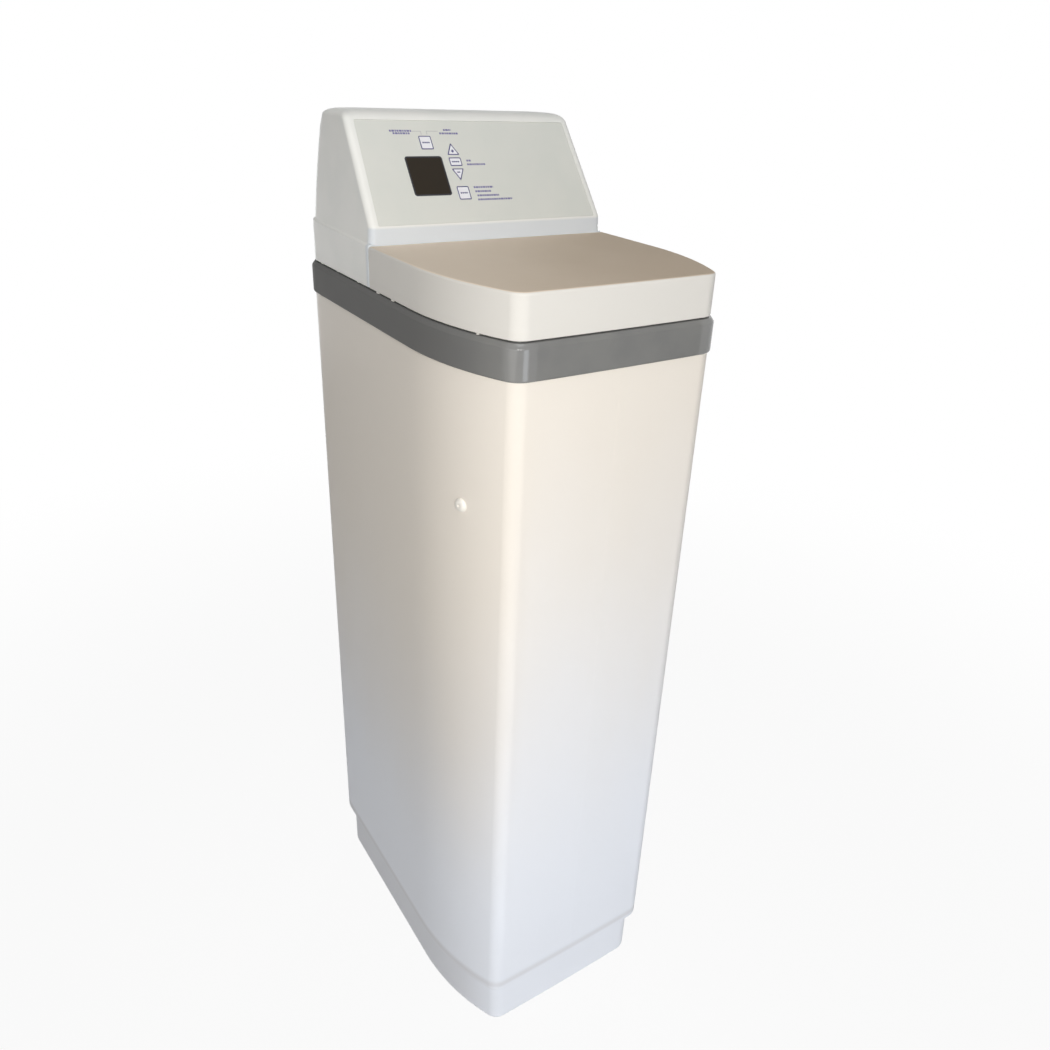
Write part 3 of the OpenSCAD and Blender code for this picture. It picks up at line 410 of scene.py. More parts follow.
@dataclass(frozen=True, kw_only=True)
class PolishedCorners(MouldedPlastic):
    """A matt moulded band with painted shade along its sides, whose front corners hands and knees have
    polished.
    """

    shaded_flank: Colour
    shaded_flank_from: Point
    side: Point
    front: Point

    def make(self) -> bpy.types.Material:
        """Make the material with its polish.

        Returns:
            The material.
        """
        made = super().make()
        shop = Shader(made.node_tree)
        place = shop.coords()
        polish = shop.step(abs(shop.axis(place, "X")), *self.side)
        polish = polish * shop.step(0 - shop.axis(place, "Y"), *self.front)
        shop.surface(Coat_Weight=polish, Coat_Roughness=0.16)
        return made

    def with_painted_shade(self, shop: Shader, base: Wire) -> Wire:
        """Paint shade along the sides.

        Args:
            shop: Shader to build in.
            base: The band's colour.

        Returns:
            The colour, with painted shade along the sides.
        """
        # Painted shade: the band's colour darkens towards its sides.
        across = abs(shop.axis(shop.coords(), "X"))
        return shop.blend(shop.step(across, *self.shaded_flank_from), base, self.shaded_flank)


@dataclass(frozen=True)
class WoundFibre:
    """Wound glass fibre of the vessel, with crossing bands under the resin."""

    name: str
    colour: Colour
    band: Colour
    axis_y: float
    pitch: float = 0.022

    def make(self) -> bpy.types.Material:
        """Make the material.

        Returns:
            The material.
        """
        shop, made = Shader.material(self.name)
        shift = {0: shop.coords(), "Location": (0, -self.axis_y, 0)}
        place = shop.node("ShaderNodeMapping", None, shift)
        turn = shop.node(
            "ShaderNodeMath",
            {"operation": "ARCTAN2"},
            {0: shop.axis(place, "Y"), 1: shop.axis(place, "X")},
        )
        height = shop.axis(place, "Z") * (2 * math.pi / self.pitch)
        left = shop.node("ShaderNodeMath", {"operation": "SINE"}, {0: height + turn * 3.0})
        right = shop.node("ShaderNodeMath", {"operation": "SINE"}, {0: height - turn * 3.0})
        weave = left * right * 0.5 + 0.5
        shop.surface(
            Base_Color=shop.blend(shop.step(weave, 0.25, 0.8), self.colour, self.band),
            Roughness=0.3 + weave * 0.15,
            Normal=shop.bump(weave, 0.0004),
        )
        return made


@dataclass(frozen=True)
class Beads:
    """Packed resin beads."""

    name: str
    colour: Colour
    tone: Colour
    size: float = 0.0016

    def make(self) -> bpy.types.Material:
        """Make the material.

        Returns:
            The material.
        """
        shop, made = Shader.material(self.name)
        cells = shop.node(
            "ShaderNodeTexVoronoi", None, {"Vector": shop.coords(), "Scale": 1 / self.size}, "Distance"
        )
        shop.surface(
            Base_Color=shop.blend(cells, self.colour, self.tone),
            Roughness=0.35 + cells * 0.2,
            Normal=shop.bump(1 - cells, 0.0005),
        )
        return made


@dataclass(frozen=True)
class PlatedMetal:
    """Turned or plated metal with fine streaks."""

    name: str
    colour: Colour
    tone: Colour
    roughness: float = 0.3

    def make(self) -> bpy.types.Material:
        """Make the material.

        Returns:
            The material.
        """
        shop, made = Shader.material(self.name)
        streaks = shop.noise(0.0012, 2.0, (1, 0.1, 1))
        shop.surface(
            Base_Color=shop.blend(streaks, self.colour, self.tone),
            Metallic=1.0,
            Roughness=self.roughness + (streaks - 0.5) * 0.15,
            Normal=shop.bump(streaks, 0.00003),
        )
        return made


@dataclass(frozen=True)
class CircuitLaminate:
    """Green board laminate with copper lanes under the mask."""

    name: str
    colour: Colour
    lane: Colour

    def make(self) -> bpy.types.Material:
        """Make the material.

        Returns:
            The material.
        """
        shop, made = Shader.material(self.name)
        across = shop.node(
            "ShaderNodeTexBrick",
            None,
            {"Vector": shop.coords(), "Scale": 90.0, "Mortar Size": 0.03},
            "Fac",
        )
        speck = shop.noise(0.004, 2.0)
        lanes = shop.step(across * speck, 0.3, 0.6)
        shop.surface(
            Base_Color=shop.blend(lanes, self.colour, self.lane),
            Roughness=0.3 + speck * 0.2,
            Normal=shop.bump(lanes, 0.00005),
        )
        return made


class Finish(Enum):
    """The finishes of the object, each made once."""

    # Painted light and shade: the warm and cool colours stand in for the key light and the floor's bounce;
    # the third colour is painted shade over the plinth's step and sides.
    CABINET = BlownCabinet(
        "cabinet_white", srgb(235, 228, 218), srgb(243, 247, 255), srgb(214, 214, 218)
    )
    # The flank colour is painted shade along the collar's sides.
    COLLAR = PolishedCorners(
        "collar_grey", srgb(126, 126, 124), srgb(121, 121, 120), 0.5,
        cloud=0.04, grit=0.08, depth=0.00003, specular=0.03,
        shaded_flank=srgb(113, 113, 112), shaded_flank_from=(0.13, 0.157), side=(0.098, 0.104), front=(0.206, 0.214),
    )
    # The lid's top colour is partly its own tint and partly painted shade; the last colour is its
    # painted-shade copy.
    LID = TintedShadedLid("lid_white", srgb(223, 220, 214), srgb(246, 231, 212), srgb(212, 195, 174), 1.012)
    # The foot colour is painted shade.
    HOOD = FootedHood(
        "hood_white", srgb(240, 240, 236), srgb(236, 237, 233), 0.36,
        specular=0.2, foot=srgb(216, 221, 226), edge=(0.03, 1.0305),
    )
    FILM = MouldedPlastic("fascia_film", srgb(217, 218, 212), srgb(214, 216, 210), 0.45, grain=0.0004)
    LENS = MouldedPlastic("display_lens", srgb(37, 28, 15), srgb(34, 26, 14), 0.3, specular=0.2)
    BORDER = MouldedPlastic("display_border", srgb(31, 30, 40), srgb(28, 27, 36), 0.35)
    KEY = MouldedPlastic("key_white", srgb(238, 238, 242), srgb(234, 234, 240), 0.38)
    PRINT = MouldedPlastic("blue_print", srgb(30, 25, 104), srgb(27, 23, 98), 0.5)
    LEADER = MouldedPlastic("grey_print", srgb(176, 176, 178), srgb(170, 170, 172), 0.5)
    CAPTION = MouldedPlastic("caption_print", srgb(112, 108, 156), srgb(104, 100, 148), 0.5)
    NYLON = MouldedPlastic("nylon_white", srgb(238, 234, 226), srgb(232, 228, 220), 0.33)
    NATURAL = MouldedPlastic("natural_plastic", srgb(232, 230, 222), srgb(226, 223, 214), 0.42)
    VALVE = MouldedPlastic("valve_black", srgb(52, 52, 55), srgb(46, 46, 49), 0.46, depth=0.00006)
    BLACK = MouldedPlastic("black_plastic", srgb(38, 38, 41), srgb(33, 33, 36), 0.4)
    RUBBER = MouldedPlastic("seal_rubber", srgb(30, 30, 31), srgb(26, 26, 27), 0.7)
    RED = MouldedPlastic("handle_red", srgb(186, 34, 38), srgb(176, 30, 35), 0.34)
    ORANGE = MouldedPlastic("float_orange", srgb(232, 146, 44), srgb(224, 136, 38), 0.38)
    VESSEL = WoundFibre("vessel_blue", srgb(44, 78, 128), srgb(58, 96, 150), 0.084)
    RESIN = Beads("resin_amber", srgb(190, 128, 52), srgb(120, 70, 24))
    STEEL = PlatedMetal("plated_steel", srgb(200, 200, 203), srgb(180, 180, 184))
    MOTOR = PlatedMetal("motor_can", srgb(188, 189, 192), srgb(170, 171, 175), 0.38)
    BRASS = PlatedMetal("cut_brass", srgb(206, 170, 96), srgb(190, 152, 80), 0.3)
    BOARD = CircuitLaminate("board_green", srgb(28, 92, 54), srgb(60, 128, 76))

    @functools.cache
    def paint(self) -> bpy.types.Material:
        """Return this finish's material, made at its first use."""
        return self.value.make()


CARRIED: dict[Finish, tuple[str, ...]] = {
    Finish.LENS: ("display_window",),
    Finish.BOARD: ("circuit_board",),
    Finish.BLACK: (
        "board_parts", "key_switches", "power_socket", "display_module", "safety_valve",
        "brine_elbow", "drain_elbow", "tank_boot",
    ),
    Finish.STEEL: ("board_screws", "bracket_screws"),
    Finish.MOTOR: ("drive_motor",),
    Finish.BRASS: ("motor_pinion",),
    Finish.VESSEL: ("resin_tank",),
    Finish.RESIN: ("resin_bed",),
    Finish.NATURAL: (
        "riser_tube", "lower_basket", "upper_basket", "seal_spacers", "piston", "reduction_gear",
        "main_gear", "brine_well", "well_cap", "well_nut", "brine_pickup", "brine_line",
    ),
    Finish.RUBBER: ("neck_seal", "lip_seals", "overflow_gasket"),
    Finish.VALVE: (
        "valve_body", "drive_cap", "drive_bracket", "injector_cap", "meter_cage", "union_nuts",
        "bypass_body", "rotor_caps", "overflow_elbow", "overflow_nut",
    ),
    Finish.RED: ("inlet_rotor", "outlet_rotor", "injector"),
    Finish.ORANGE: ("brine_float", "meter_turbine"),
}


def verts_of(geom: Iterable[Any]) -> list[BMVert]:
    """Return the vertices in a list of geometry."""
    return [g for g in geom if isinstance(g, BMVert)]


def edges_of(geom: Iterable[Any]) -> list[BMEdge]:
    """Return the edges in a list of geometry."""
    return [g for g in geom if isinstance(g, BMEdge)]


def faces_of(geom: Iterable[Any]) -> list[BMFace]:
    """Return the faces in a list of geometry."""
    return [g for g in geom if isinstance(g, BMFace)]


def with_verts(edges: Sequence[BMEdge]) -> list[Any]:
    """Return edges together with their vertices."""
    return list(edges) + list({v for e in edges for v in e.verts})


def raised(bm: BMesh, faces: Sequence[BMFace], rise: Vector) -> list[BMFace]:
    """Extrude faces and keep the ones they start from.

    Args:
        bm: Mesh they belong to.
        faces: Faces to extrude.
        rise: How far and which way, in metres.

    Returns:
        The faces at the far end.
    """
    grown = bmesh.ops.extrude_face_region(bm, geom=list(faces), use_keep_orig=True)
    bmesh.ops.translate(bm, verts=verts_of(grown["geom"]), vec=rise)
    return faces_of(grown["geom"])


def soften(
    bm: BMesh, geom: Iterable[Any], offset: float, segments: int, affect: str = "EDGES"
) -> list[BMVert]:
    """Round edges or corners.

    Args:
        bm: Mesh they belong to.
        geom: Edges or corners to round.
        offset: Length cut away on each side, in millimetres.
        segments: Steps of the rounding.
        affect: EDGES or VERTICES.

    Returns:
        The vertices of the rounding.
    """
    made = bmesh.ops.bevel(
        bm, geom=list(geom), offset=offset * MM, segments=segments, profile=0.5, affect=affect, material=-1
    )
    return made["verts"]


class Pen:
    """Draws a chain of edges in a plane of the model, by extruding and spinning its last vertex."""

    def __init__(self, bm: BMesh, plane: Matrix, u: float, v: float) -> None:
        """Start a chain.

        Args:
            bm: Mesh to draw in.
            plane: Frame of the plane, in metres.
            u: First coordinate in millimetres.
            v: Second coordinate in millimetres.
        """
        self.bm = bm
        self.plane = plane
        self.before = set(bm.edges)
        self.tip = self.first = bm.verts.new(self.at(u, v))

    def at(self, u: float, v: float) -> Vector:
        """Return a point of the plane as a place in the model."""
        return self.plane @ mm(u, v, 0)

    def line(self, u: float, v: float) -> "Pen":
        """Draw a straight edge from the last point.

        Args:
            u: First coordinate of its end in millimetres.
            v: Second coordinate of its end in millimetres.

        Returns:
            The pen.
        """
        grown = bmesh.ops.extrude_vert_indiv(self.bm, verts=[self.tip])
        self.tip = grown["verts"][0]
        self.tip.co = self.at(u, v)
        return self

    def arc(self, u: float, v: float, degrees: float, steps: int) -> "Pen":
        """Draw an arc from the last point.

        Args:
            u: First coordinate of its centre in millimetres.
            v: Second coordinate of its centre in millimetres.
            degrees: Turn, anticlockwise in the plane.
            steps: Number of edges.

        Returns:
            The pen.
        """
        spun = bmesh.ops.spin(
            self.bm,
            geom=[self.tip],
            cent=self.at(u, v),
            axis=self.plane.to_3x3() @ Vector((0, 0, 1)),
            angle=math.radians(degrees),
            steps=steps,
        )
        self.tip = verts_of(spun["geom_last"])[0]
        return self

    def close(self) -> "Pen":
        """Join the last point to the first and return the pen."""
        self.bm.edges.new((self.tip, self.first))
        return self

    def edges(self) -> list[BMEdge]:
        """Return the edges drawn."""
        return [e for e in self.bm.edges if e not in self.before]

    def face(self) -> BMFace:
        """Fill the closed chain and return its face."""
        return faces_of(bmesh.ops.contextual_create(self.bm, geom=self.edges())["faces"])[0]


@dataclass(frozen=True)
class Plan:
    """Plan of the cabinet: swept sides, rounded corners and a slightly bowed front, in millimetres."""

    half_w: float = 160.0
    half_d: float = 226.0
    sweep_r: float = 311.0
    sweep_angle: float = 26.0
    corner_r: float = 24.0
    bow_r: float = 6000.0
    back_r: float = 44.0
    sweep_steps: int = 14
    corner_steps: int = 12
    bow_steps: int = 6
    back_steps: int = 14

    @property
    def corner_x(self) -> float:
        """Return how far each front corner's centre lies from the middle."""
        return self.half_w - self.sweep_r + (self.sweep_r - self.corner_r) * math.cos(
            math.radians(self.sweep_angle)
        )

    @property
    def bow_angle(self) -> float:
        """Return half the angle of the bowed front in degrees."""
        return math.degrees(math.asin(self.corner_x / (self.bow_r - self.corner_r)))

    @property
    def corner_y(self) -> float:
        """Return where the front corners' centres lie, front to back."""
        reach = self.bow_r - self.corner_r
        return self.bow_r - self.half_d - reach * math.cos(math.radians(self.bow_angle))

    @property
    def sweep_y(self) -> float:
        """Return where the sides start to sweep in."""
        return self.corner_y + (self.sweep_r - self.corner_r) * math.sin(math.radians(self.sweep_angle))

    @property
    def back_y(self) -> float:
        """Return where the back corners start."""
        return self.half_d - self.back_r

    def front_turns(self) -> list[tuple[float, float, float, int]]:
        """Return the arcs of the front from left to right: centre, turn and steps."""
        corner = 90 - self.bow_angle - self.sweep_angle
        return [
            (self.sweep_r - self.half_w, self.sweep_y, self.sweep_angle, self.sweep_steps),
            (-self.corner_x, self.corner_y, corner, self.corner_steps),
            (0.0, self.bow_r - self.half_d, 2 * self.bow_angle, self.bow_steps),
            (self.corner_x, self.corner_y, corner, self.corner_steps),
            (self.half_w - self.sweep_r, self.sweep_y, self.sweep_angle, self.sweep_steps),
        ]

    def section_plane(self, y: float) -> Matrix:
        """Return the plane of a wall section on the left side: inset to the right, height upwards."""
        return Matrix.Translation(mm(-self.half_w, y, 0)) @ UPRIGHT

    def swept(self, degrees: float, inset: float) -> Point:
        """Return a place on the right swept side.

        Args:
            degrees: How far round the sweep, from its start.
            inset: Inset from the collar's face.

        Returns:
            Its x and y in millimetres.
        """
        turn = math.radians(degrees)
        reach = self.sweep_r - inset
        x = self.half_w - self.sweep_r + reach * math.cos(turn)
        return x, self.sweep_y - reach * math.sin(turn)

    def outline(self, bm: BMesh, z: float, inset: float, rear: float) -> Pen:
        """Draw the front of the plan with a straight rear edge.

        Args:
            bm: Mesh to draw in.
            z: Height in millimetres.
            inset: Inset from the collar's face.
            rear: Where the rear edge lies, front to back.

        Returns:
            The closed pen.
        """
        pen = Pen(bm, Matrix.Translation(mm(0, 0, z)), inset - self.half_w, rear)
        pen.line(inset - self.half_w, self.sweep_y)
        for u, v, degrees, steps in self.front_turns():
            pen.arc(u, v, degrees, steps)
        return pen.line(self.half_w - inset, rear).close()


class Sweep:
    """Carries a wall section along the plan by straight and turning extrusions."""

    def __init__(self, bm: BMesh, section: Sequence[BMEdge]) -> None:
        """Start from the edges of a section."""
        self.bm = bm
        self.tip = with_verts(section)

    def run(self, x: float, y: float) -> "Sweep":
        """Carry the section straight on.

        Args:
            x: Distance to the right in millimetres.
            y: Distance to the back in millimetres.

        Returns:
            The sweep.
        """
        grown = bmesh.ops.extrude_edge_only(self.bm, edges=edges_of(self.tip))
        self.tip = edges_of(grown["geom"]) + verts_of(grown["geom"])
        bmesh.ops.translate(self.bm, verts=verts_of(self.tip), vec=mm(x, y, 0))
        return self

    def turn(self, u: float, v: float, degrees: float, steps: int) -> "Sweep":
        """Carry the section round a centre.

        Args:
            u: Centre's x in millimetres.
            v: Centre's y in millimetres.
            degrees: Turn, anticlockwise from above.
            steps: Number of steps.

        Returns:
            The sweep.
        """
        spun = bmesh.ops.spin(
            self.bm,
            geom=self.tip,
            cent=mm(u, v, 0),
            axis=(0, 0, 1),
            angle=math.radians(degrees),
            steps=steps,
        )
        self.tip = spun["geom_last"]
        return self

    def all_round(self, plan: Plan) -> None:
        """Carry the section from the back of the left side right round a plan, and close it.

        Args:
            plan: Plan to follow.
        """
        side = plan.sweep_y - plan.back_y
        corner_x = plan.half_w - plan.back_r
        self.run(0, side)
        for turn in plan.front_turns():
            self.turn(*turn)
        self.run(0, -side)
        self.turn(corner_x, plan.back_y, 90, plan.back_steps)
        self.run(-2 * corner_x, 0)
        self.turn(-corner_x, plan.back_y, 90, plan.back_steps)


def weld(bm: BMesh) -> None:
    """Merge doubles and point all faces outwards."""
    bmesh.ops.remove_doubles(bm, verts=bm.verts[:], dist=1e-6)
    bmesh.ops.recalc_face_normals(bm, faces=bm.faces[:])


def cap_holes(bm: BMesh) -> None:
    """Fill every open loop with a face."""
    bmesh.ops.holes_fill(bm, edges=[e for e in bm.edges if e.is_boundary], sides=0)


def grow(points: Sequence[Point], margin: float) -> list[Point]:
    """Move a convex outline outwards.

    Args:
        points: Its corners, anticlockwise.
        margin: Distance to move each side.

    Returns:
        The moved corners.
    """
    moved = []
    for i, (x, y) in enumerate(points):
        corner = Vector((x, y))
        back = (Vector(points[i - 1]) - corner).normalized()
        ahead = (Vector(points[(i + 1) % len(points)]) - corner).normalized()
        half = back.angle(ahead) / 2
        place = corner - (back + ahead).normalized() * margin / math.sin(half)
        moved.append((place.x, place.y))
    return moved


def plate(
    bm: BMesh,
    plane: Matrix,
    points: Sequence[Point],
    corner: float,
    low: float,
    high: float,
    edge: float = 0.0,
) -> None:
    """Add a plate with rounded corners.

    Args:
        bm: Mesh to add to.
        plane: Frame of the plate's plane.
        points: Corners in millimetres, anticlockwise.
        corner: Length cut from each corner by its rounding.
        low: Height of its back.
        high: Height of its face.
        edge: Rounding of the edge round its face.
    """
    made = [bm.verts.new(plane @ mm(x, y, low)) for x, y in points]
    bm.faces.new(made)
    if corner:
        made = soften(bm, made, corner, 5, "VERTICES")
    base = next(f for f in made[0].link_faces if all(v in f.verts for v in made))
    front = raised(bm, [base], plane.to_3x3() @ mm(0, 0, high - low))
    if edge:
        soften(bm, [e for f in front for e in f.edges], edge, 3)
    bmesh.ops.recalc_face_normals(bm, faces=bm.faces[:])


def block(bm: BMesh, low: Vector, high: Vector, edge: float) -> None:
    """Add a block with softened edges.

    Args:
        bm: Mesh to add to.
        low: Its lowest corner, in metres.
        high: Its highest corner, in metres.
        edge: Rounding of its edges, in millimetres.
    """
    frame = Matrix.Translation((low + high) / 2) @ Matrix.Diagonal((*(high - low), 1))
    made = bmesh.ops.create_cube(bm, size=1.0, matrix=frame)
    soften(bm, {e for v in made["verts"] for e in v.link_edges}, edge, 2)


def feet(bm: BMesh, spots: Iterable[Point], size: Point, heights: Point) -> None:
    """Add small feet under a moulding.

    Args:
        bm: Mesh to add to.
        spots: Middle of each foot from above, in millimetres.
        size: Width and length of a foot.
        heights: Heights of sole and top.
    """
    half = mm(*size, 0) / 2
    for x, y in spots:
        block(bm, mm(x, y, heights[0]) - half, mm(x, y, heights[1]) + half, 0.2)


def turned(bm: BMesh, frame: Matrix, profile: Sequence[Point], steps: int = 48) -> None:
    """Add a turned shape.

    Args:
        bm: Mesh to add to.
        frame: Frame whose z axis is the turning axis.
        profile: Radius and height of the profile's points, in millimetres.
        steps: Steps of the full turn.
    """
    pen = Pen(bm, frame @ UPRIGHT, *profile[0])
    for radius, height in profile[1:]:
        pen.line(radius, height)
    bmesh.ops.spin(
        bm,
        geom=with_verts(pen.edges()),
        cent=frame.translation,
        axis=frame.to_3x3() @ Vector((0, 0, 1)),
        angle=2 * math.pi,
        steps=steps,
        use_merge=True,
    )


def applied(obj: bpy.types.Object) -> None:
    """Replace an object's mesh by its modified mesh and drop its modifiers.

    Args:
        obj: The object.
    """
    graph = bpy.context.evaluated_depsgraph_get()
    final = bpy.data.meshes.new_from_object(obj.evaluated_get(graph))
    obj.modifiers.clear()
    old = obj.data
    obj.data = final
    bpy.data.meshes.remove(old)


@contextmanager
def edited(obj: bpy.types.Object) -> Iterator[BMesh]:
    """Open an object's mesh and put it back changed.

    Args:
        obj: The object.

    Yields:
        Its mesh.
    """
    bm = bmesh.new()
    bm.from_mesh(obj.data)
    yield bm
    bm.to_mesh(obj.data)
    bm.free()


def walled(obj: bpy.types.Object, thickness: float) -> None:
    """Give a sheet a wall that grows inwards.

    Args:
        obj: The sheet.
        thickness: Thickness of its wall in millimetres.
    """
    wall = obj.modifiers.new("wall", "SOLIDIFY")
    wall.thickness = thickness * MM
    wall.offset = -1.0
    applied(obj)


def new_object(bm: BMesh, name: str) -> bpy.types.Object:
    """Put a mesh into the scene.

    Args:
        bm: The mesh, freed afterwards.
        name: Name of the object.

    Returns:
        The object.
    """
    mesh = bpy.data.meshes.new(name)
    bm.to_mesh(mesh)
    bm.free()
    obj = bpy.data.objects.new(name, mesh)
    bpy.context.scene.collection.objects.link(obj)
    return obj


def cut_away(obj: bpy.types.Object, cutter: bpy.types.Object) -> None:
    """Take a cutter's shape out of an object, and remove the cutter.

    Args:
        obj: The object to cut.
        cutter: Closed shapes that don't overlap each other.
    """
    modifier = obj.modifiers.new("cut", "BOOLEAN")
    modifier.operation = "DIFFERENCE"
    modifier.solver = "MANIFOLD"
    modifier.object = cutter
    applied(obj)
    mesh = cutter.data
    bpy.data.objects.remove(cutter)
    bpy.data.meshes.remove(mesh)


def shade(obj: bpy.types.Object) -> None:
    """Shade an object smooth between its sharp edges, with flat faces kept flat.

    Args:
        obj: The object.
    """
    with edited(obj) as bm:
        for face in bm.faces:
            face.smooth = True
        for edge in bm.edges:
            edge.smooth = edge.is_manifold and edge.calc_face_angle(0.0) < SHARP_ANGLE
    weighted = obj.modifiers.new("weighted", "WEIGHTED_NORMAL")
    weighted.keep_sharp = True


def dress(
    obj: bpy.types.Object, finish: Finish, body: str, stands_for: Sequence[str] = ()
) -> None:
    """Finish a piece and hand it to the body that carries it.

    Args:
        obj: The piece.
        finish: Its finish.
        body: Name of the body it moves with.
        stands_for: CAD nodes that it replaces.
    """
    shade(obj)
    obj.data.materials.clear()
    obj.data.materials.append(finish.paint())
    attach(obj, body)
    if stands_for:
        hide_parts(*stands_for)
    LOG.info("%s rides on %s", obj.name, body)


@dataclass
class Cabinet:
    """The blown cabinet, its parting line and the nylon screw on its side."""

    plan: Plan
    inset: float = 2.9
    plinth_inset: float = 11.3
    plinth_corner: float = 33.0
    plinth_back: float = 49.0
    foot_r: float = 6.0
    plinth_h: float = 72.0
    edge_r: float = 8.0
    top: float = 963.0
    wall: float = 3.5
    floor: float = 4.0
    bolt_angle: float = 16.4
    bolt_z: float = 785.0
    head_r: float = 7.5
    shank_r: float = 4.0
    shank: float = 23.5
    rim_cut: float = 0.8
    fair: float = 4.0
    seam: tuple[Point, Point] = ((0.7, 1.6), (92.0, 926.0))
    seam_h: float = 0.12

    def build(self) -> None:
        """Build the cabinet's pieces."""
        self.shell()
        self.parting_line()
        self.side_screw()

    def shell(self) -> None:
        """Build the plinth and the walls from two sections carried round, joined under the step."""
        bm = bmesh.new()
        inner = self.inset + self.wall
        plinth_inner = self.plinth_inset + self.wall
        lip = self.plinth_h + 0.2
        turn_z = lip + self.edge_r
        foot = replace(self.plan, corner_r=self.plinth_corner, back_r=self.plinth_back)
        pen = Pen(bm, foot.section_plane(foot.back_y), self.plinth_inset + self.foot_r, 0)
        pen.arc(self.plinth_inset + self.foot_r, self.foot_r, -90, 6)
        pen.line(self.plinth_inset, lip - self.fair)
        Sweep(bm, pen.edges()).all_round(foot)
        pen = Pen(bm, self.plan.section_plane(self.plan.back_y), self.plinth_inset, lip)
        pen.line(self.inset + self.edge_r, lip).arc(self.inset + self.edge_r, turn_z, -90, 8)
        pen.line(self.inset, self.top - self.rim_cut).line(self.inset + self.rim_cut, self.top)
        pen.line(inner - self.rim_cut, self.top).line(inner, self.top - self.rim_cut)
        pen.line(inner, turn_z + 6).line(inner + 2, turn_z + 2)
        pen.line(plinth_inner - 1, turn_z).line(plinth_inner, turn_z - 3)
        pen.line(plinth_inner, self.floor + 6).arc(plinth_inner + 6, self.floor + 6, 90, 5)
        Sweep(bm, pen.edges()).all_round(self.plan)
        weld(bm)
        under = (lip - self.fair - 1) * MM
        step = [e for e in bm.edges if e.is_boundary and min(v.co.z for v in e.verts) > under]
        bmesh.ops.bridge_loops(bm, edges=step)
        cap_holes(bm)
        bmesh.ops.recalc_face_normals(bm, faces=bm.faces[:])
        dress(new_object(bm, "cabinet_shell"), Finish.CABINET, "cabinet", ["cabinet"])

    def parting_line(self) -> None:
        """Build the faint raised line that the mould leaves down the front."""
        bm = bmesh.new()
        face = self.inset - self.plan.half_d
        (left, right), (low, high) = self.seam
        block(bm, mm(left, face - self.seam_h, low), mm(right, face + 0.6, high), 0.1)
        dress(new_object(bm, "parting_line"), Finish.CABINET, "cabinet")

    def side_screw(self) -> None:
        """Build the domed nylon screw that holds the brine well."""
        bm = bmesh.new()
        x, y = self.plan.swept(self.bolt_angle, self.inset)
        turn = Matrix.Rotation(math.radians(self.bolt_angle), 4, "Z")
        outward = turn @ Matrix.Rotation(-math.pi / 2, 4, "Y")
        frame = Matrix.Translation(mm(-x, y, self.bolt_z)) @ outward
        r = self.head_r
        turned(bm, frame, [
            (0.0, 2.6), (1.0, 2.6), (1.6, 3.9), (2.4, 4.0), (3.8, 3.9), (5.2, 3.5), (6.4, 2.8),
            (r - 0.4, 1.9), (r, 1.1), (r, 0.0), (self.shank_r, 0.0), (self.shank_r, 1 - self.shank),
            (self.shank_r - 1, -self.shank), (0.0, -self.shank),
        ])
        weld(bm)
        dress(new_object(bm, "side_screw"), Finish.NYLON, "cabinet", ["well_bolt"])


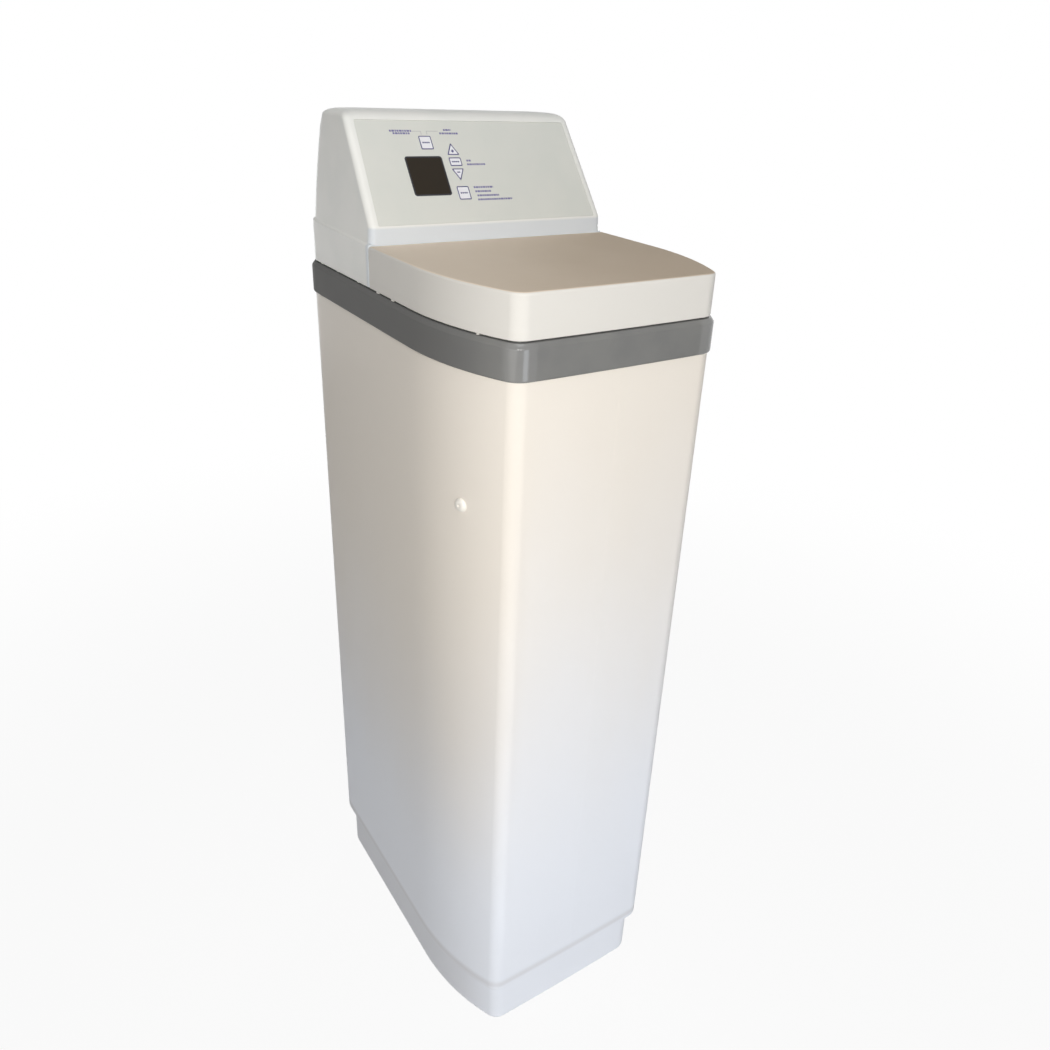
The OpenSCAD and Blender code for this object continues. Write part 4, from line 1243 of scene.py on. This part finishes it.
@dataclass
class Collar:
    """The grey band round the cabinet's rim, with its inner rib and bridge."""

    plan: Plan
    top: float = 966.0
    height: float = 37.0
    chamfer: float = 4.2
    edge_r: float = 2.4
    skirt_inset: float = 2.85
    lip_inset: float = 9.5
    mouth_inset: float = 12.0
    flange: float = 3.0
    rib: Point = (8.5, 11.0)
    rib_h: float = 12.0
    bridge: Point = (17.3, 34.3)
    bridge_h: float = 8.0
    cut: float = 0.8
    sink: float = 0.4
    notch_half: float = 78.0

    def build(self) -> None:
        """Build the band, the ribs and the bridge as one piece."""
        bm = bmesh.new()
        self.band(bm)
        self.front_rib(bm)
        self.rear_ribs(bm)
        reach = self.plan.half_w - self.mouth_inset
        near, far = self.bridge
        block(bm, mm(-reach, near, self.top - self.bridge_h), mm(reach, far, self.top), self.cut)
        bmesh.ops.recalc_face_normals(bm, faces=bm.faces[:])
        dress(new_object(bm, "collar_band"), Finish.COLLAR, "cabinet", ["collar"])

    def band(self, bm: BMesh) -> None:
        """Carry the band's closed section round the plan.

        Args:
            bm: Mesh to build in.
        """
        low = self.top - self.height
        pen = Pen(bm, self.plan.section_plane(self.plan.back_y), self.edge_r, low)
        pen.arc(self.edge_r, low + self.edge_r, -90, 5)
        pen.line(0, self.top - self.chamfer - 1.2).line(0.3, self.top - self.chamfer - 0.2)
        pen.line(self.chamfer - 0.9, self.top - 0.5).line(self.chamfer + 0.3, self.top)
        pen.line(self.mouth_inset - 1, self.top).line(self.mouth_inset, self.top - 1)
        pen.line(self.mouth_inset, low).line(self.lip_inset, low)
        pen.line(self.lip_inset, self.top - self.flange).line(self.skirt_inset, self.top - self.flange)
        pen.line(self.skirt_inset, low).close()
        Sweep(bm, pen.edges()).all_round(self.plan)
        weld(bm)

    def rib_section(self, bm: BMesh, y: float) -> list[BMEdge]:
        """Draw the rib's section on the left side.

        Args:
            bm: Mesh to draw in.
            y: Where it lies, front to back.

        Returns:
            Its edges.
        """
        near, far = self.rib
        low = self.top - self.sink
        top = self.top + self.rib_h
        pen = Pen(bm, self.plan.section_plane(y), near, low)
        pen.line(near, top - self.cut).line(near + self.cut, top).line(far - self.cut, top)
        return pen.line(far, top - self.cut).line(far, low).close().edges()

    def front_rib(self, bm: BMesh) -> None:
        """Carry the rib round the front, from one end of the bridge to the other.

        Args:
            bm: Mesh to build in.
        """
        start = self.bridge[0]
        sweep = Sweep(bm, self.rib_section(bm, start)).run(0, self.plan.sweep_y - start)
        for turn in self.plan.front_turns():
            sweep.turn(*turn)
        sweep.run(0, start - self.plan.sweep_y)
        cap_holes(bm)

    def rear_ribs(self, bm: BMesh) -> None:
        """Carry the rib round each back corner up to the pipe notch.

        Args:
            bm: Mesh to build in.
        """
        start = self.bridge[1]
        corner_x = self.plan.half_w - self.plan.back_r
        before = set(bm.verts)
        sweep = Sweep(bm, self.rib_section(bm, start)).run(0, self.plan.back_y - start)
        sweep.turn(-corner_x, self.plan.back_y, -90, self.plan.back_steps)
        sweep.run(corner_x - self.notch_half, 0)
        cap_holes(bm)
        made = [v for v in bm.verts if v not in before]
        rim = {e for v in made for e in v.link_edges}
        sides = {f for v in made for f in v.link_faces}
        bmesh.ops.mirror(bm, geom=made + list(rim) + list(sides), axis="X", merge_dist=-1.0)


@dataclass
class SaltLid:
    """The flat lift-off lid over the salt bin."""

    plan: Plan
    inset: float = 4.5
    low: float = 967.8
    top: float = 1012.0
    rear: float = 26.0
    wall: float = 2.8
    edge_r: float = 3.0
    gap: float = 1.8
    rib_rows: tuple[float, ...] = (-150.0, -85.0, -20.0)
    nub_rows: tuple[float, ...] = (-33.0, 4.0)
    rib_half: float = 110.0
    rib: Point = (2.0, 6.0)
    nub: Point = (2.2, 5.0)
    corner_nub: float = 19.5
    corner_nub_size: Point = (2.4, 2.4)

    def build(self) -> None:
        """Build the lid with its ribs and the small feet that keep its shadow gap."""
        bm = bmesh.new()
        base = self.plan.outline(bm, self.low, self.inset, self.rear).face()
        top = raised(bm, [base], mm(0, 0, self.top - self.low))
        bmesh.ops.delete(bm, geom=[base], context="FACES_ONLY")
        bmesh.ops.recalc_face_normals(bm, faces=bm.faces[:])
        soften(bm, [e for f in top for e in f.edges], self.edge_r, 5)
        obj = new_object(bm, "lid_shell")
        walled(obj, self.wall)
        with edited(obj) as mesh:
            self.ribs_and_nubs(mesh)
        dress(obj, Finish.LID, "salt_lid", ["salt_lid"])

    def ribs_and_nubs(self, bm: BMesh) -> None:
        """Add the stiffening ribs under the top and the feet under the skirt.

        Args:
            bm: Mesh of the lid.
        """
        under = self.top - self.wall
        thick, deep = self.rib
        for y in self.rib_rows:
            low = mm(-self.rib_half, y, under - deep)
            block(bm, low, mm(self.rib_half, y + thick, under + 0.4), 0.4)
        side = self.plan.half_w - self.inset - 1.2
        heights = (self.low - self.gap, self.low + 1)
        rows = [y + self.nub[1] / 2 for y in self.nub_rows]
        feet(bm, [(x, y) for x in (-side, side) for y in rows], self.nub, heights)
        x, y = self.plan.swept(self.corner_nub, self.inset + 1.3)
        feet(bm, [(-x, y), (x, y)], self.corner_nub_size, heights)


@dataclass(frozen=True)
class Slope:
    """The sloped panel's plane: x to the right, s up the slope, n out of the panel."""

    y: float = 26.6
    z: float = 1031.0
    angle: float = 35.6

    def frame(self) -> Matrix:
        """Return the plane's frame."""
        turn = Matrix.Rotation(math.radians(90 - self.angle), 4, "X")
        return Matrix.Translation(mm(0, self.y, self.z)) @ turn


@dataclass
class HeadCover:
    """The cover over the control valve: skirt, upright foot, sloped front and rolled roof."""

    plan: Plan
    slope: Slope
    inset: float = 4.5
    low: float = 967.8
    ledge: float = 1012.0
    top: float = 1141.0
    wall: float = 3.0
    base_half: float = 153.2
    taper: float = 5.2
    back_base: float = 216.5
    lean: float = 28.5
    brow_r: float = 20.0
    knee_r: float = 9.0
    side_roll: float = 12.0
    back_roll: float = 26.0
    shoulder: float = 9.0
    shoulder_at: float = 0.84
    front_r: float = 7.5
    pinch: float = 2.2
    back_r: float = 36.0
    top_r: float = 27.0
    notch_half: float = 78.0
    notch_top: float = 1050.0
    notch_y: Point = (133.0, 300.0)
    notch_r: float = 4.0
    socket: tuple[float, float, float] = (105.0, 200.0, 990.0)
    socket_r: float = 6.2
    skirt_r: float = 3.0
    ledge_round: tuple[Point, ...] = ((-2.2, 0.0), (-1.2, 0.2), (-0.4, 0.6), (0.2, 1.2), (0.6, 1.7))
    ledge_rise: float = 0.024
    foot_rises: Point = (1.4, 4.0)
    front_steps: int = 8
    knee_steps: int = 6
    slope_steps: int = 8
    brow_steps: int = 10
    recess: float = 1.2
    nub_rows: tuple[float, ...] = (60.0, 120.0, 170.0)
    nub: Point = (2.2, 5.0)
    gap: float = 1.8

    def ring(
        self,
        bm: BMesh,
        z: float,
        half: float,
        front: float,
        back: float,
        radii: Point,
        pinch: float = 0.0,
    ) -> list[BMEdge]:
        """Draw one rounded ring of the cover.

        Args:
            bm: Mesh to draw in.
            z: Height in millimetres.
            half: Half its width.
            front: Where its front lies.
            back: Where its back lies.
            radii: Radii of its front and back corners.
            pinch: How much narrower each side is at the front than at the back.

        Returns:
            Its edges.
        """
        fr, br = radii
        near = half - pinch
        pen = Pen(bm, Matrix.Translation(mm(0, 0, z)), -near, front + fr)
        pen.arc(fr - near, front + fr, 90, self.front_steps).line(near - fr, front)
        pen.arc(near - fr, front + fr, 90, self.front_steps).line(half, back - br)
        pen.arc(half - br, back - br, 90, self.plan.back_steps).line(br - half, back)
        return pen.arc(br - half, back - br, 90, self.plan.back_steps).close().edges()

    def stations(self) -> list[tuple[float, float, float]]:
        """Work out the rings' places up the hood.

        Returns:
            Height, front and share of the roof's roll of each ring.
        """
        lean = math.radians(self.slope.angle)
        knee = self.knee_r * math.tan(lean / 2)
        rise = self.brow_r * (1 - math.sin(lean))
        roof = self.top - rise
        made = [(self.ledge + step, self.slope.y, 0.0) for step in self.foot_rises]
        for i in range(self.knee_steps + 1):
            a = lean * i / self.knee_steps
            z = self.slope.z - knee + self.knee_r * math.sin(a)
            made.append((z, self.slope.y + self.knee_r * (1 - math.cos(a)), 0.0))
        bend = made[-1][0]
        for i in range(1, self.slope_steps + 1):
            z = bend + (roof - bend) * i / self.slope_steps
            made.append((z, self.slope.y + (z - self.slope.z) * math.tan(lean), 0.0))
        brow = made[-1][1]
        for i in range(1, self.brow_steps + 1):
            a = lean + (math.pi / 2 - lean) * i / self.brow_steps
            z = roof + self.brow_r * (math.sin(a) - math.sin(lean))
            made.append((z, brow + self.brow_r * (math.cos(lean) - math.cos(a)), (z - roof) / rise))
        return made

    def hood_ring(self, bm: BMesh, station: tuple[float, float, float]) -> list[BMEdge]:
        """Draw the hood's ring at a station.

        Args:
            bm: Mesh to draw in.
            station: Height, front and share of the roof's roll.

        Returns:
            Its edges.
        """
        z, front, share = station
        up = (z - self.ledge) / (self.top - self.ledge)
        roll = 1 - math.sqrt(max(0.0, 1 - share * share))
        half = self.base_half - self.taper * up - self.side_roll * roll
        back = self.back_base - self.lean * up**1.5 - self.back_roll * roll
        back -= self.shoulder * max(0.0, (up - self.shoulder_at) / (1 - self.shoulder_at)) ** 2
        radii = (self.front_r, self.back_r + (self.top_r - self.back_r) * share)
        return self.ring(bm, z, half, front, back, radii, self.pinch * up)

    def build(self) -> None:
        """Build the cover with its recess, openings, pipe notch and feet."""
        obj = self.shell()
        for cutter in (self.recess_cutter(), self.opening_cutter(), self.rear_cutter()):
            cut_away(obj, cutter)
        side = self.plan.half_w - self.inset - 2.6
        spots = [(x, y + self.nub[1] / 2) for x in (-side, side) for y in self.nub_rows]
        with edited(obj) as bm:
            feet(bm, spots, self.nub, (self.low - self.gap, self.low + 1))
        dress(obj, Finish.HOOD, "head_cover", ["head_cover"])

    def shell(self) -> bpy.types.Object:
        """Build the hollow shell from bridged rings.

        Returns:
            Its object.
        """
        bm = bmesh.new()
        half = self.plan.half_w - self.inset
        back = self.plan.half_d - self.inset
        radii = (self.skirt_r, self.plan.back_r - self.inset)
        rings = [
            self.ring(bm, self.ledge + rise, half - step, self.slope.y, back - step, radii)
            for rise, step in ((self.low - self.ledge, 0.0), *self.ledge_round)
        ]
        rings += [self.hood_ring(bm, station) for station in self.stations()]
        tilt = Matrix.Identity(4)
        tilt[2][1] = self.ledge_rise
        tilt[2][3] = -self.ledge_rise * self.slope.y * MM
        for loop in rings[1 : 1 + len(self.ledge_round) + len(self.foot_rises)]:
            bmesh.ops.transform(bm, matrix=tilt, verts=verts_of(with_verts(loop)))
        for lower, upper in zip(rings, rings[1:]):
            bmesh.ops.bridge_loops(bm, edges=lower + upper)
        bmesh.ops.holes_fill(bm, edges=rings[-1], sides=0)
        weld(bm)
        obj = new_object(bm, "cover_shell")
        walled(obj, self.wall)
        return obj

    def recess_cutter(self) -> bpy.types.Object:
        """Return the shape of the fascia's recess."""
        bm = bmesh.new()
        plate(bm, self.slope.frame(), grow(Panel.FASCIA, Panel.FIT), 1.9, -self.recess, 6)
        return new_object(bm, "recess_cutter")

    def opening_cutter(self) -> bpy.types.Object:
        """Return the shape of the openings through the panel for the display and the keys."""
        bm = bmesh.new()
        plane = self.slope.frame()
        plate(bm, plane, grow(Panel.DISPLAY, -2), Panel.DISPLAY_CORNER, -12, 6)
        for key in Panel.KEYS.values():
            plate(bm, plane, grow(key.outline(), Panel.FIT), Panel.KEY_CORNER, -12, 6)
        return new_object(bm, "opening_cutter")

    def rear_cutter(self) -> bpy.types.Object:
        """Return the shape of the pipe notch and of the supply socket's hole."""
        bm = bmesh.new()
        near, far = self.notch_y
        low = mm(-self.notch_half, near, self.low - 30)
        block(bm, low, mm(self.notch_half, far, self.notch_top), self.notch_r)
        back = Matrix.Translation(mm(*self.socket)) @ Matrix.Rotation(-math.pi / 2, 4, "X")
        turned(bm, back, [(0, 0), (self.socket_r, 0), (self.socket_r, 60), (0, 60)])
        weld(bm)
        return new_object(bm, "rear_cutter")


class Sign(Enum):
    """What is printed on a key, as boxes round its middle: left, low, right and high in millimetres."""

    BARS = tuple((step - 0.85, -0.8, step + 0.85, 0.8) for step in (-3.6, -1.2, 1.2, 3.6))
    PLUS = ((-1.9, -1.0, 1.9, 0.2), (-0.6, 0.2, 0.6, 1.5), (-0.6, -2.3, 0.6, -1.0))
    MINUS = ((-1.9, 0.0, 1.9, 1.2),)


def oblong(left: float, low: float, right: float, high: float) -> list[Point]:
    """Return an oblong's corners, anticlockwise."""
    return [(left, low), (right, low), (right, high), (left, high)]


@dataclass(frozen=True)
class Key:
    """One key: an oblong with bars, or an arrow up with a plus or down with a minus."""

    x: float
    s: float
    height: float
    sign: Sign = Sign.BARS
    width: float = 15.2
    heel: float = 5.0

    def outline(self) -> list[Point]:
        """Work out the outline of the key's cap.

        Returns:
            Its corners on the slope, anticlockwise, in millimetres.
        """
        half, rise = self.width / 2, self.height / 2
        if self.sign is Sign.BARS:
            return oblong(self.x - half, self.s - rise, self.x + half, self.s + rise)
        way = 1 if self.sign is Sign.PLUS else -1
        base = self.s - way * self.heel
        tip = base + way * self.height
        return [(self.x - way * half, base), (self.x + way * half, base), (self.x, tip)]


@dataclass
class Panel:
    """The fascia's film, keys, printed outlines and display border."""

    FASCIA = ((-142.0, 0.8), (142.0, 0.8), (136.0, 123.9), (-136.0, 123.9))
    DISPLAY = ((-89.0, 33.8), (-43.0, 33.8), (-43.0, 80.8), (-89.0, 80.8))
    KEYS = {
        "key_top": Key(-57.2, 97.2, 16.2),
        "key_up": Key(-27.0, 87.2, 14.4, Sign.PLUS),
        "key_middle": Key(-27.0, 73.8, 10.2),
        "key_down": Key(-27.0, 60.4, 14.4, Sign.MINUS),
        "key_bottom": Key(-27.8, 35.8, 16.0),
    }
    CAPTIONS = (
        (-98.0, -71.4, 111.4), (-94.5, -74.0, 108.4), (-31.0, -21.4, 112.8), (-37.0, -13.5, 108.6),
        (-12.5, -7.0, 75.1), (-12.9, 10.6, 70.5),
        (-13.3, 12.0, 42.4), (-12.7, 8.3, 37.3), (-11.5, 17.0, 32.2), (-12.1, 33.6, 27.3),
    )
    DASHES = (2.2, 3.1, 1.7)
    LEADERS = ((-60.0, -71.0, 111.0), (-52.9, -38.5, 111.2))
    KEY_CORNER = 1.4
    DISPLAY_CORNER = 3.0
    FIT = 0.25
    slope: Slope
    face: float = -0.1
    key_back: float = -4.5
    film: float = -0.4
    film_t: float = 0.8
    print_t: float = 0.05
    line_w: float = 1.0
    caption_half: float = 1.1
    dash_gap: float = 0.7
    leader_half: float = 0.25
    leader_end: float = 107.0

    def build(self) -> None:
        """Build the keys with their print, the film, the display's border and the film's print."""
        for name, key in self.KEYS.items():
            self.key_cap(name, key)
            self.key_print(name, key)
        self.film_sheet()
        self.display_border()
        self.captions()
        self.leaders()

    def key_cap(self, name: str, key: Key) -> None:
        """Build one key: cap, flange behind the panel and stem.

        Args:
            name: Its CAD node and body.
            key: The key.
        """
        bm = bmesh.new()
        plane = self.slope.frame()
        shape = key.outline()
        plate(bm, plane, shape, self.KEY_CORNER, self.key_back, self.face, 0.25)
        plate(bm, plane, grow(shape, 1.1), self.KEY_CORNER, self.key_back, self.key_back + 1)
        stem = plane @ Matrix.Translation(mm(key.x, key.s, 0))
        turned(bm, stem, [(0, -5.9), (2.2, -5.9), (2.5, -5.6), (2.5, -4.0), (0, -4.0)], 24)
        weld(bm)
        dress(new_object(bm, name + "_cap"), Finish.KEY, name, [name])

    def strip(
        self, bm: BMesh, outer: Sequence[Point], inner: Sequence[Point], corner: float, low: float
    ) -> None:
        """Add a thin printed frame between two outlines.

        Args:
            bm: Mesh to add to.
            outer: Corners of the outer outline.
            inner: Corners of the inner outline.
            corner: Length cut from each outer corner by its rounding.
            low: Height of the face that it lies on.
        """
        plane = self.slope.frame() @ Matrix.Translation(mm(0, 0, low))
        loops = []
        for points, cut in ((outer, corner), (inner, corner * 0.6)):
            made = [bm.verts.new(plane @ mm(x, y, 0)) for x, y in points]
            edges = [bm.edges.new((a, b)) for a, b in zip(made, made[1:] + made[:1])]
            before = set(bm.edges) - set(edges)
            soften(bm, made, cut, 4, "VERTICES")
            loops.append([e for e in bm.edges if e not in before])
        ring = bmesh.ops.bridge_loops(bm, edges=loops[0] + loops[1])["faces"]
        raised(bm, ring, self.slope.frame().to_3x3() @ mm(0, 0, self.print_t))
        bmesh.ops.recalc_face_normals(bm, faces=bm.faces[:])

    def ink(self, bm: BMesh, box: Sequence[float], low: float) -> None:
        """Add a thin printed box, given by left, low, right and high, to the face at a height."""
        plate(bm, self.slope.frame(), oblong(*box), 0.0, low, low + self.print_t)

    def key_print(self, name: str, key: Key) -> None:
        """Build a key's printed outline and its plain sign.

        Args:
            name: Its CAD node and body.
            key: The key.
        """
        bm = bmesh.new()
        shape = key.outline()
        self.strip(bm, grow(shape, -0.02), grow(shape, -self.line_w), self.KEY_CORNER, self.face)
        for left, low, right, high in key.sign.value:
            self.ink(bm, (key.x + left, key.s + low, key.x + right, key.s + high), self.face)
        dress(new_object(bm, name + "_print"), Finish.PRINT, name)

    def film_sheet(self) -> None:
        """Build the fascia's film with its openings for the display and the keys."""
        bm = bmesh.new()
        plane = self.slope.frame()
        plate(bm, plane, self.FASCIA, 1.7, self.film - self.film_t, self.film)
        obj = new_object(bm, "film_sheet")
        cutter = bmesh.new()
        plate(cutter, plane, grow(self.DISPLAY, 0.2), self.DISPLAY_CORNER, -3, 3)
        for key in self.KEYS.values():
            plate(cutter, plane, grow(key.outline(), self.FIT), self.KEY_CORNER, -3, 3)
        cut_away(obj, new_object(cutter, "film_cutter"))
        dress(obj, Finish.FILM, "head_cover", ["fascia"])

    def display_border(self) -> None:
        """Build the dark printed border of the display window."""
        bm = bmesh.new()
        self.strip(bm, self.DISPLAY, grow(self.DISPLAY, -1.6), self.DISPLAY_CORNER, self.film)
        dress(new_object(bm, "display_border"), Finish.BORDER, "head_cover")

    def captions(self) -> None:
        """Build plain rows of short bars where a maker would print captions."""
        bm = bmesh.new()
        for left, right, s in self.CAPTIONS:
            lengths = itertools.cycle(self.DASHES)
            x = left
            while x < right:
                end = min(x + next(lengths), right)
                self.ink(bm, (x, s - self.caption_half, end, s + self.caption_half), self.film)
                x = end + self.dash_gap
        dress(new_object(bm, "caption_bars"), Finish.CAPTION, "head_cover")

    def leaders(self) -> None:
        """Build the two thin printed lines that lead from the captions to the top key."""
        bm = bmesh.new()
        half = self.leader_half
        for bend, end, s in self.LEADERS:
            self.ink(bm, (min(bend, end), s - half, max(bend, end), s + half), self.film)
            self.ink(bm, (bend - half, self.leader_end, bend + half, s + half), self.film)
        dress(new_object(bm, "leader_lines"), Finish.LEADER, "head_cover")


@dataclass
class RearFittings:
    """Threads and hose barbs on the connections behind the head cover."""

    DRAIN_BARB = ((6.3, 0.0), (7.3, 0.4), (7.3, 1.2), (6.4, 5.6), (6.3, 5.6), (6.3, 0.0))
    OVERFLOW_BARB = ((7.9, 0.0), (9.1, 0.4), (9.1, 1.3), (8.05, 6.4), (7.9, 6.4), (7.9, 0.0))
    port_x: float = 44.0
    port_z: float = 990.0
    tail: Point = (276.5, 293.5)
    tail_r: float = 13.0
    pitch: float = 1.814
    crest: float = 0.65
    root: float = 1.2
    turn_steps: int = 36
    drain_z: float = 1034.0
    drain_rows: tuple[float, ...] = (228.0, 235.0, 242.0)
    overflow: Point = (95.0, 245.1)
    overflow_rows: tuple[float, ...] = (744.0, 736.0, 728.0)

    def build(self) -> None:
        """Build the threads and barbs."""
        self.threads()
        self.barbs()

    def threads(self) -> None:
        """Build the helical thread on both tails."""
        bm = bmesh.new()
        start, end = self.tail
        turns = int((end - start) / self.pitch)
        steps = self.turn_steps * turns
        for x in (-self.port_x, self.port_x):
            middle = mm(x, 0, self.port_z)
            pen = Pen(bm, Matrix.Translation(middle), self.tail_r, start)
            pen.line(self.tail_r + self.crest, start + self.root / 2)
            pen.line(self.tail_r, start + self.root).close()
            bmesh.ops.spin(
                bm,
                geom=with_verts(pen.edges()),
                cent=middle,
                axis=(0, 1, 0),
                dvec=mm(0, (end - start - self.root) / steps, 0),
                angle=2 * math.pi * turns,
                steps=steps,
            )
        cap_holes(bm)
        weld(bm)
        dress(new_object(bm, "tail_threads"), Finish.VALVE, "cabinet")

    def barbs(self) -> None:
        """Build the hose barbs on the drain and overflow spigots."""
        bm = bmesh.new()
        along = Matrix.Rotation(-math.pi / 2, 4, "X")
        for y in self.drain_rows:
            turned(bm, Matrix.Translation(mm(0, y, self.drain_z)) @ along, self.DRAIN_BARB)
        down = Matrix.Rotation(math.pi, 4, "X")
        for z in self.overflow_rows:
            turned(bm, Matrix.Translation(mm(*self.overflow, z)) @ down, self.OVERFLOW_BARB)
        weld(bm)
        dress(new_object(bm, "hose_barbs"), Finish.VALVE, "cabinet")


@dataclass(frozen=True)
class Lamp:
    """A soft area lamp aimed at a point."""

    name: str
    place: tuple[float, float, float]
    target: tuple[float, float, float]
    size: float
    power: float
    colour: tuple[float, float, float] = (1.0, 1.0, 1.0)

    def build(self) -> None:
        """Hang the lamp."""
        data = bpy.data.lights.new(self.name, "AREA")
        data.shape = "DISK"
        data.size = self.size
        data.energy = self.power
        data.color = self.colour
        obj = bpy.data.objects.new(self.name, data)
        aim = Vector(self.target) - Vector(self.place)
        turn = aim.to_track_quat("-Z", "Y").to_matrix().to_4x4()
        obj.matrix_world = Matrix.Translation(self.place) @ turn
        obj.visible_camera = False
        bpy.context.scene.collection.objects.link(obj)


@dataclass
class Studio:
    """Camera, floor, world and lamps."""

    eye: tuple[float, float, float] = (-0.53794, -0.87466, 1.18950)
    right: tuple[float, float, float] = (0.83343, -0.55063, 0.04687)
    up: tuple[float, float, float] = (0.20551, 0.38755, 0.89865)
    focal_px: float = 883.61
    centre_px: Point = (542.6, 498.46)
    sensor: float = 36.0

    def build(self) -> None:
        """Build the studio."""
        self.camera()
        self.floor()
        self.world()
        for lamp in (
            Lamp("key", (-1.0, -2.0, 1.7), (0.0, 0.0, 0.7), 1.2, 40.5, (1.0, 0.985, 0.96)),
            Lamp("left_near", (-0.58, -0.52, 0.9), (-0.14, -0.16, 0.6), 0.5, 0.78, (1.0, 0.98, 0.95)),
            Lamp("front_low", (0.05, -2.1, 0.36), (0.0, 0.0, 0.4), 0.8, 5.4, (0.86, 0.92, 1.0)),
            Lamp("top_fill", (-0.2, -0.6, 2.6), (0.0, 0.0, 1.0), 1.0, 6.5, (0.98, 0.99, 1.0)),
            Lamp("rear_fill", (1.9, 2.0, 0.55), (0.0, 0.1, 0.55), 0.8, 40.0),
            Lamp("rear_left", (-0.5, 2.6, 0.6), (0.0, 0.2, 0.3), 1.2, 5.0),
        ):
            lamp.build()

    def camera(self) -> None:
        """Place the camera at the photograph's viewpoint."""
        data = bpy.data.cameras.new("camera")
        data.sensor_width = self.sensor
        data.lens = self.focal_px * self.sensor / PHOTO_PX
        data.shift_x = (PHOTO_PX / 2 - self.centre_px[0]) / PHOTO_PX
        data.shift_y = (self.centre_px[1] - PHOTO_PX / 2) / PHOTO_PX
        data.clip_start = 0.01
        obj = bpy.data.objects.new("camera", data)
        right, up = Vector(self.right).normalized(), Vector(self.up).normalized()
        turn = Matrix((right, up, right.cross(up))).transposed()
        obj.matrix_world = Matrix.Translation(self.eye) @ turn.to_4x4()
        bpy.context.scene.collection.objects.link(obj)
        bpy.context.scene.camera = obj

    @staticmethod
    def seen(shop: Shader) -> Wire:
        """Tell rays that see the studio from rays that light it.

        Args:
            shop: Shader to build in.

        Returns:
            1 for camera, glossy and transmission rays, else 0.
        """
        kinds = ("Camera", "Glossy", "Transmission")
        total = sum(shop.node("ShaderNodeLightPath", out=f"Is {kind} Ray") for kind in kinds)
        return shop.node("ShaderNodeMath", {"operation": "MINIMUM"}, {0: total, 1: 1.0})

    def floor(self) -> None:
        """Lay the pale floor, which keeps the object's shadow."""
        bm = bmesh.new()
        bmesh.ops.create_grid(bm, x_segments=1, y_segments=1, size=12.0)
        obj = new_object(bm, "floor")
        shop, made = Shader.material("floor_white")
        surface = shop.tree.nodes["Principled BSDF"]
        speck = shop.noise(0.4, 2.0)
        pale = shop.blend(speck, (0.62, 0.62, 0.62, 1), (0.66, 0.66, 0.66, 1))
        shop.surface(Base_Color=pale, Roughness=0.9)
        glow = shop.node("ShaderNodeEmission", None, {"Color": (1, 1, 1, 1), "Strength": 1.0})
        reach = shop.node("ShaderNodeVectorMath", {"operation": "LENGTH"}, {0: shop.coords()}, "Value")
        share = self.seen(shop) * (0.92 + shop.step(reach, 0.6, 2.0) * 0.08)
        mixed = shop.node(
            "ShaderNodeMixShader", None, {0: share, 1: Wire(shop, surface.outputs[0]), 2: glow}
        )
        shop.feed(shop.tree.nodes["Material Output"].inputs["Surface"], mixed)
        obj.data.materials.append(made)

    def world(self) -> None:
        """Set soft surrounding light, white where the camera sees it."""
        world = bpy.data.worlds.new("studio")
        bpy.context.scene.world = world
        world.use_nodes = True
        shop = Shader(world.node_tree)
        way = shop.node("ShaderNodeTexCoord", out="Generated")
        rise = shop.step(shop.axis(way, "Z"), 0.2, 0.9)
        soft = shop.blend(rise, (0.015, 0.016, 0.018, 1), (0.035, 0.034, 0.032, 1))
        white = shop.blend(self.seen(shop), soft, (1, 1, 1, 1))
        shop.feed(world.node_tree.nodes["Background"].inputs["Color"], white)
        bpy.context.scene.view_settings.view_transform = "Standard"


def paint_carried(nodes: Mapping[str, bpy.types.Object]) -> None:
    """Give every CAD node that stays visible its finish.

    Args:
        nodes: The frame's objects by node name.
    """
    for finish, names in CARRIED.items():
        for name in names:
            nodes[name].data.materials.clear()
            nodes[name].data.materials.append(finish.paint())


def main() -> None:
    """Build the softener's looks round its frame."""
    logging.basicConfig(level=logging.INFO, format="%(message)s")
    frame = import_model()
    Studio().build()
    paint_carried(frame["nodes"])
    plan = Plan()
    slope = Slope()
    Cabinet(plan).build()
    Collar(plan).build()
    SaltLid(plan).build()
    HeadCover(plan, slope).build()
    Panel(slope).build()
    RearFittings().build()


if __name__ == "__main__":
    main()
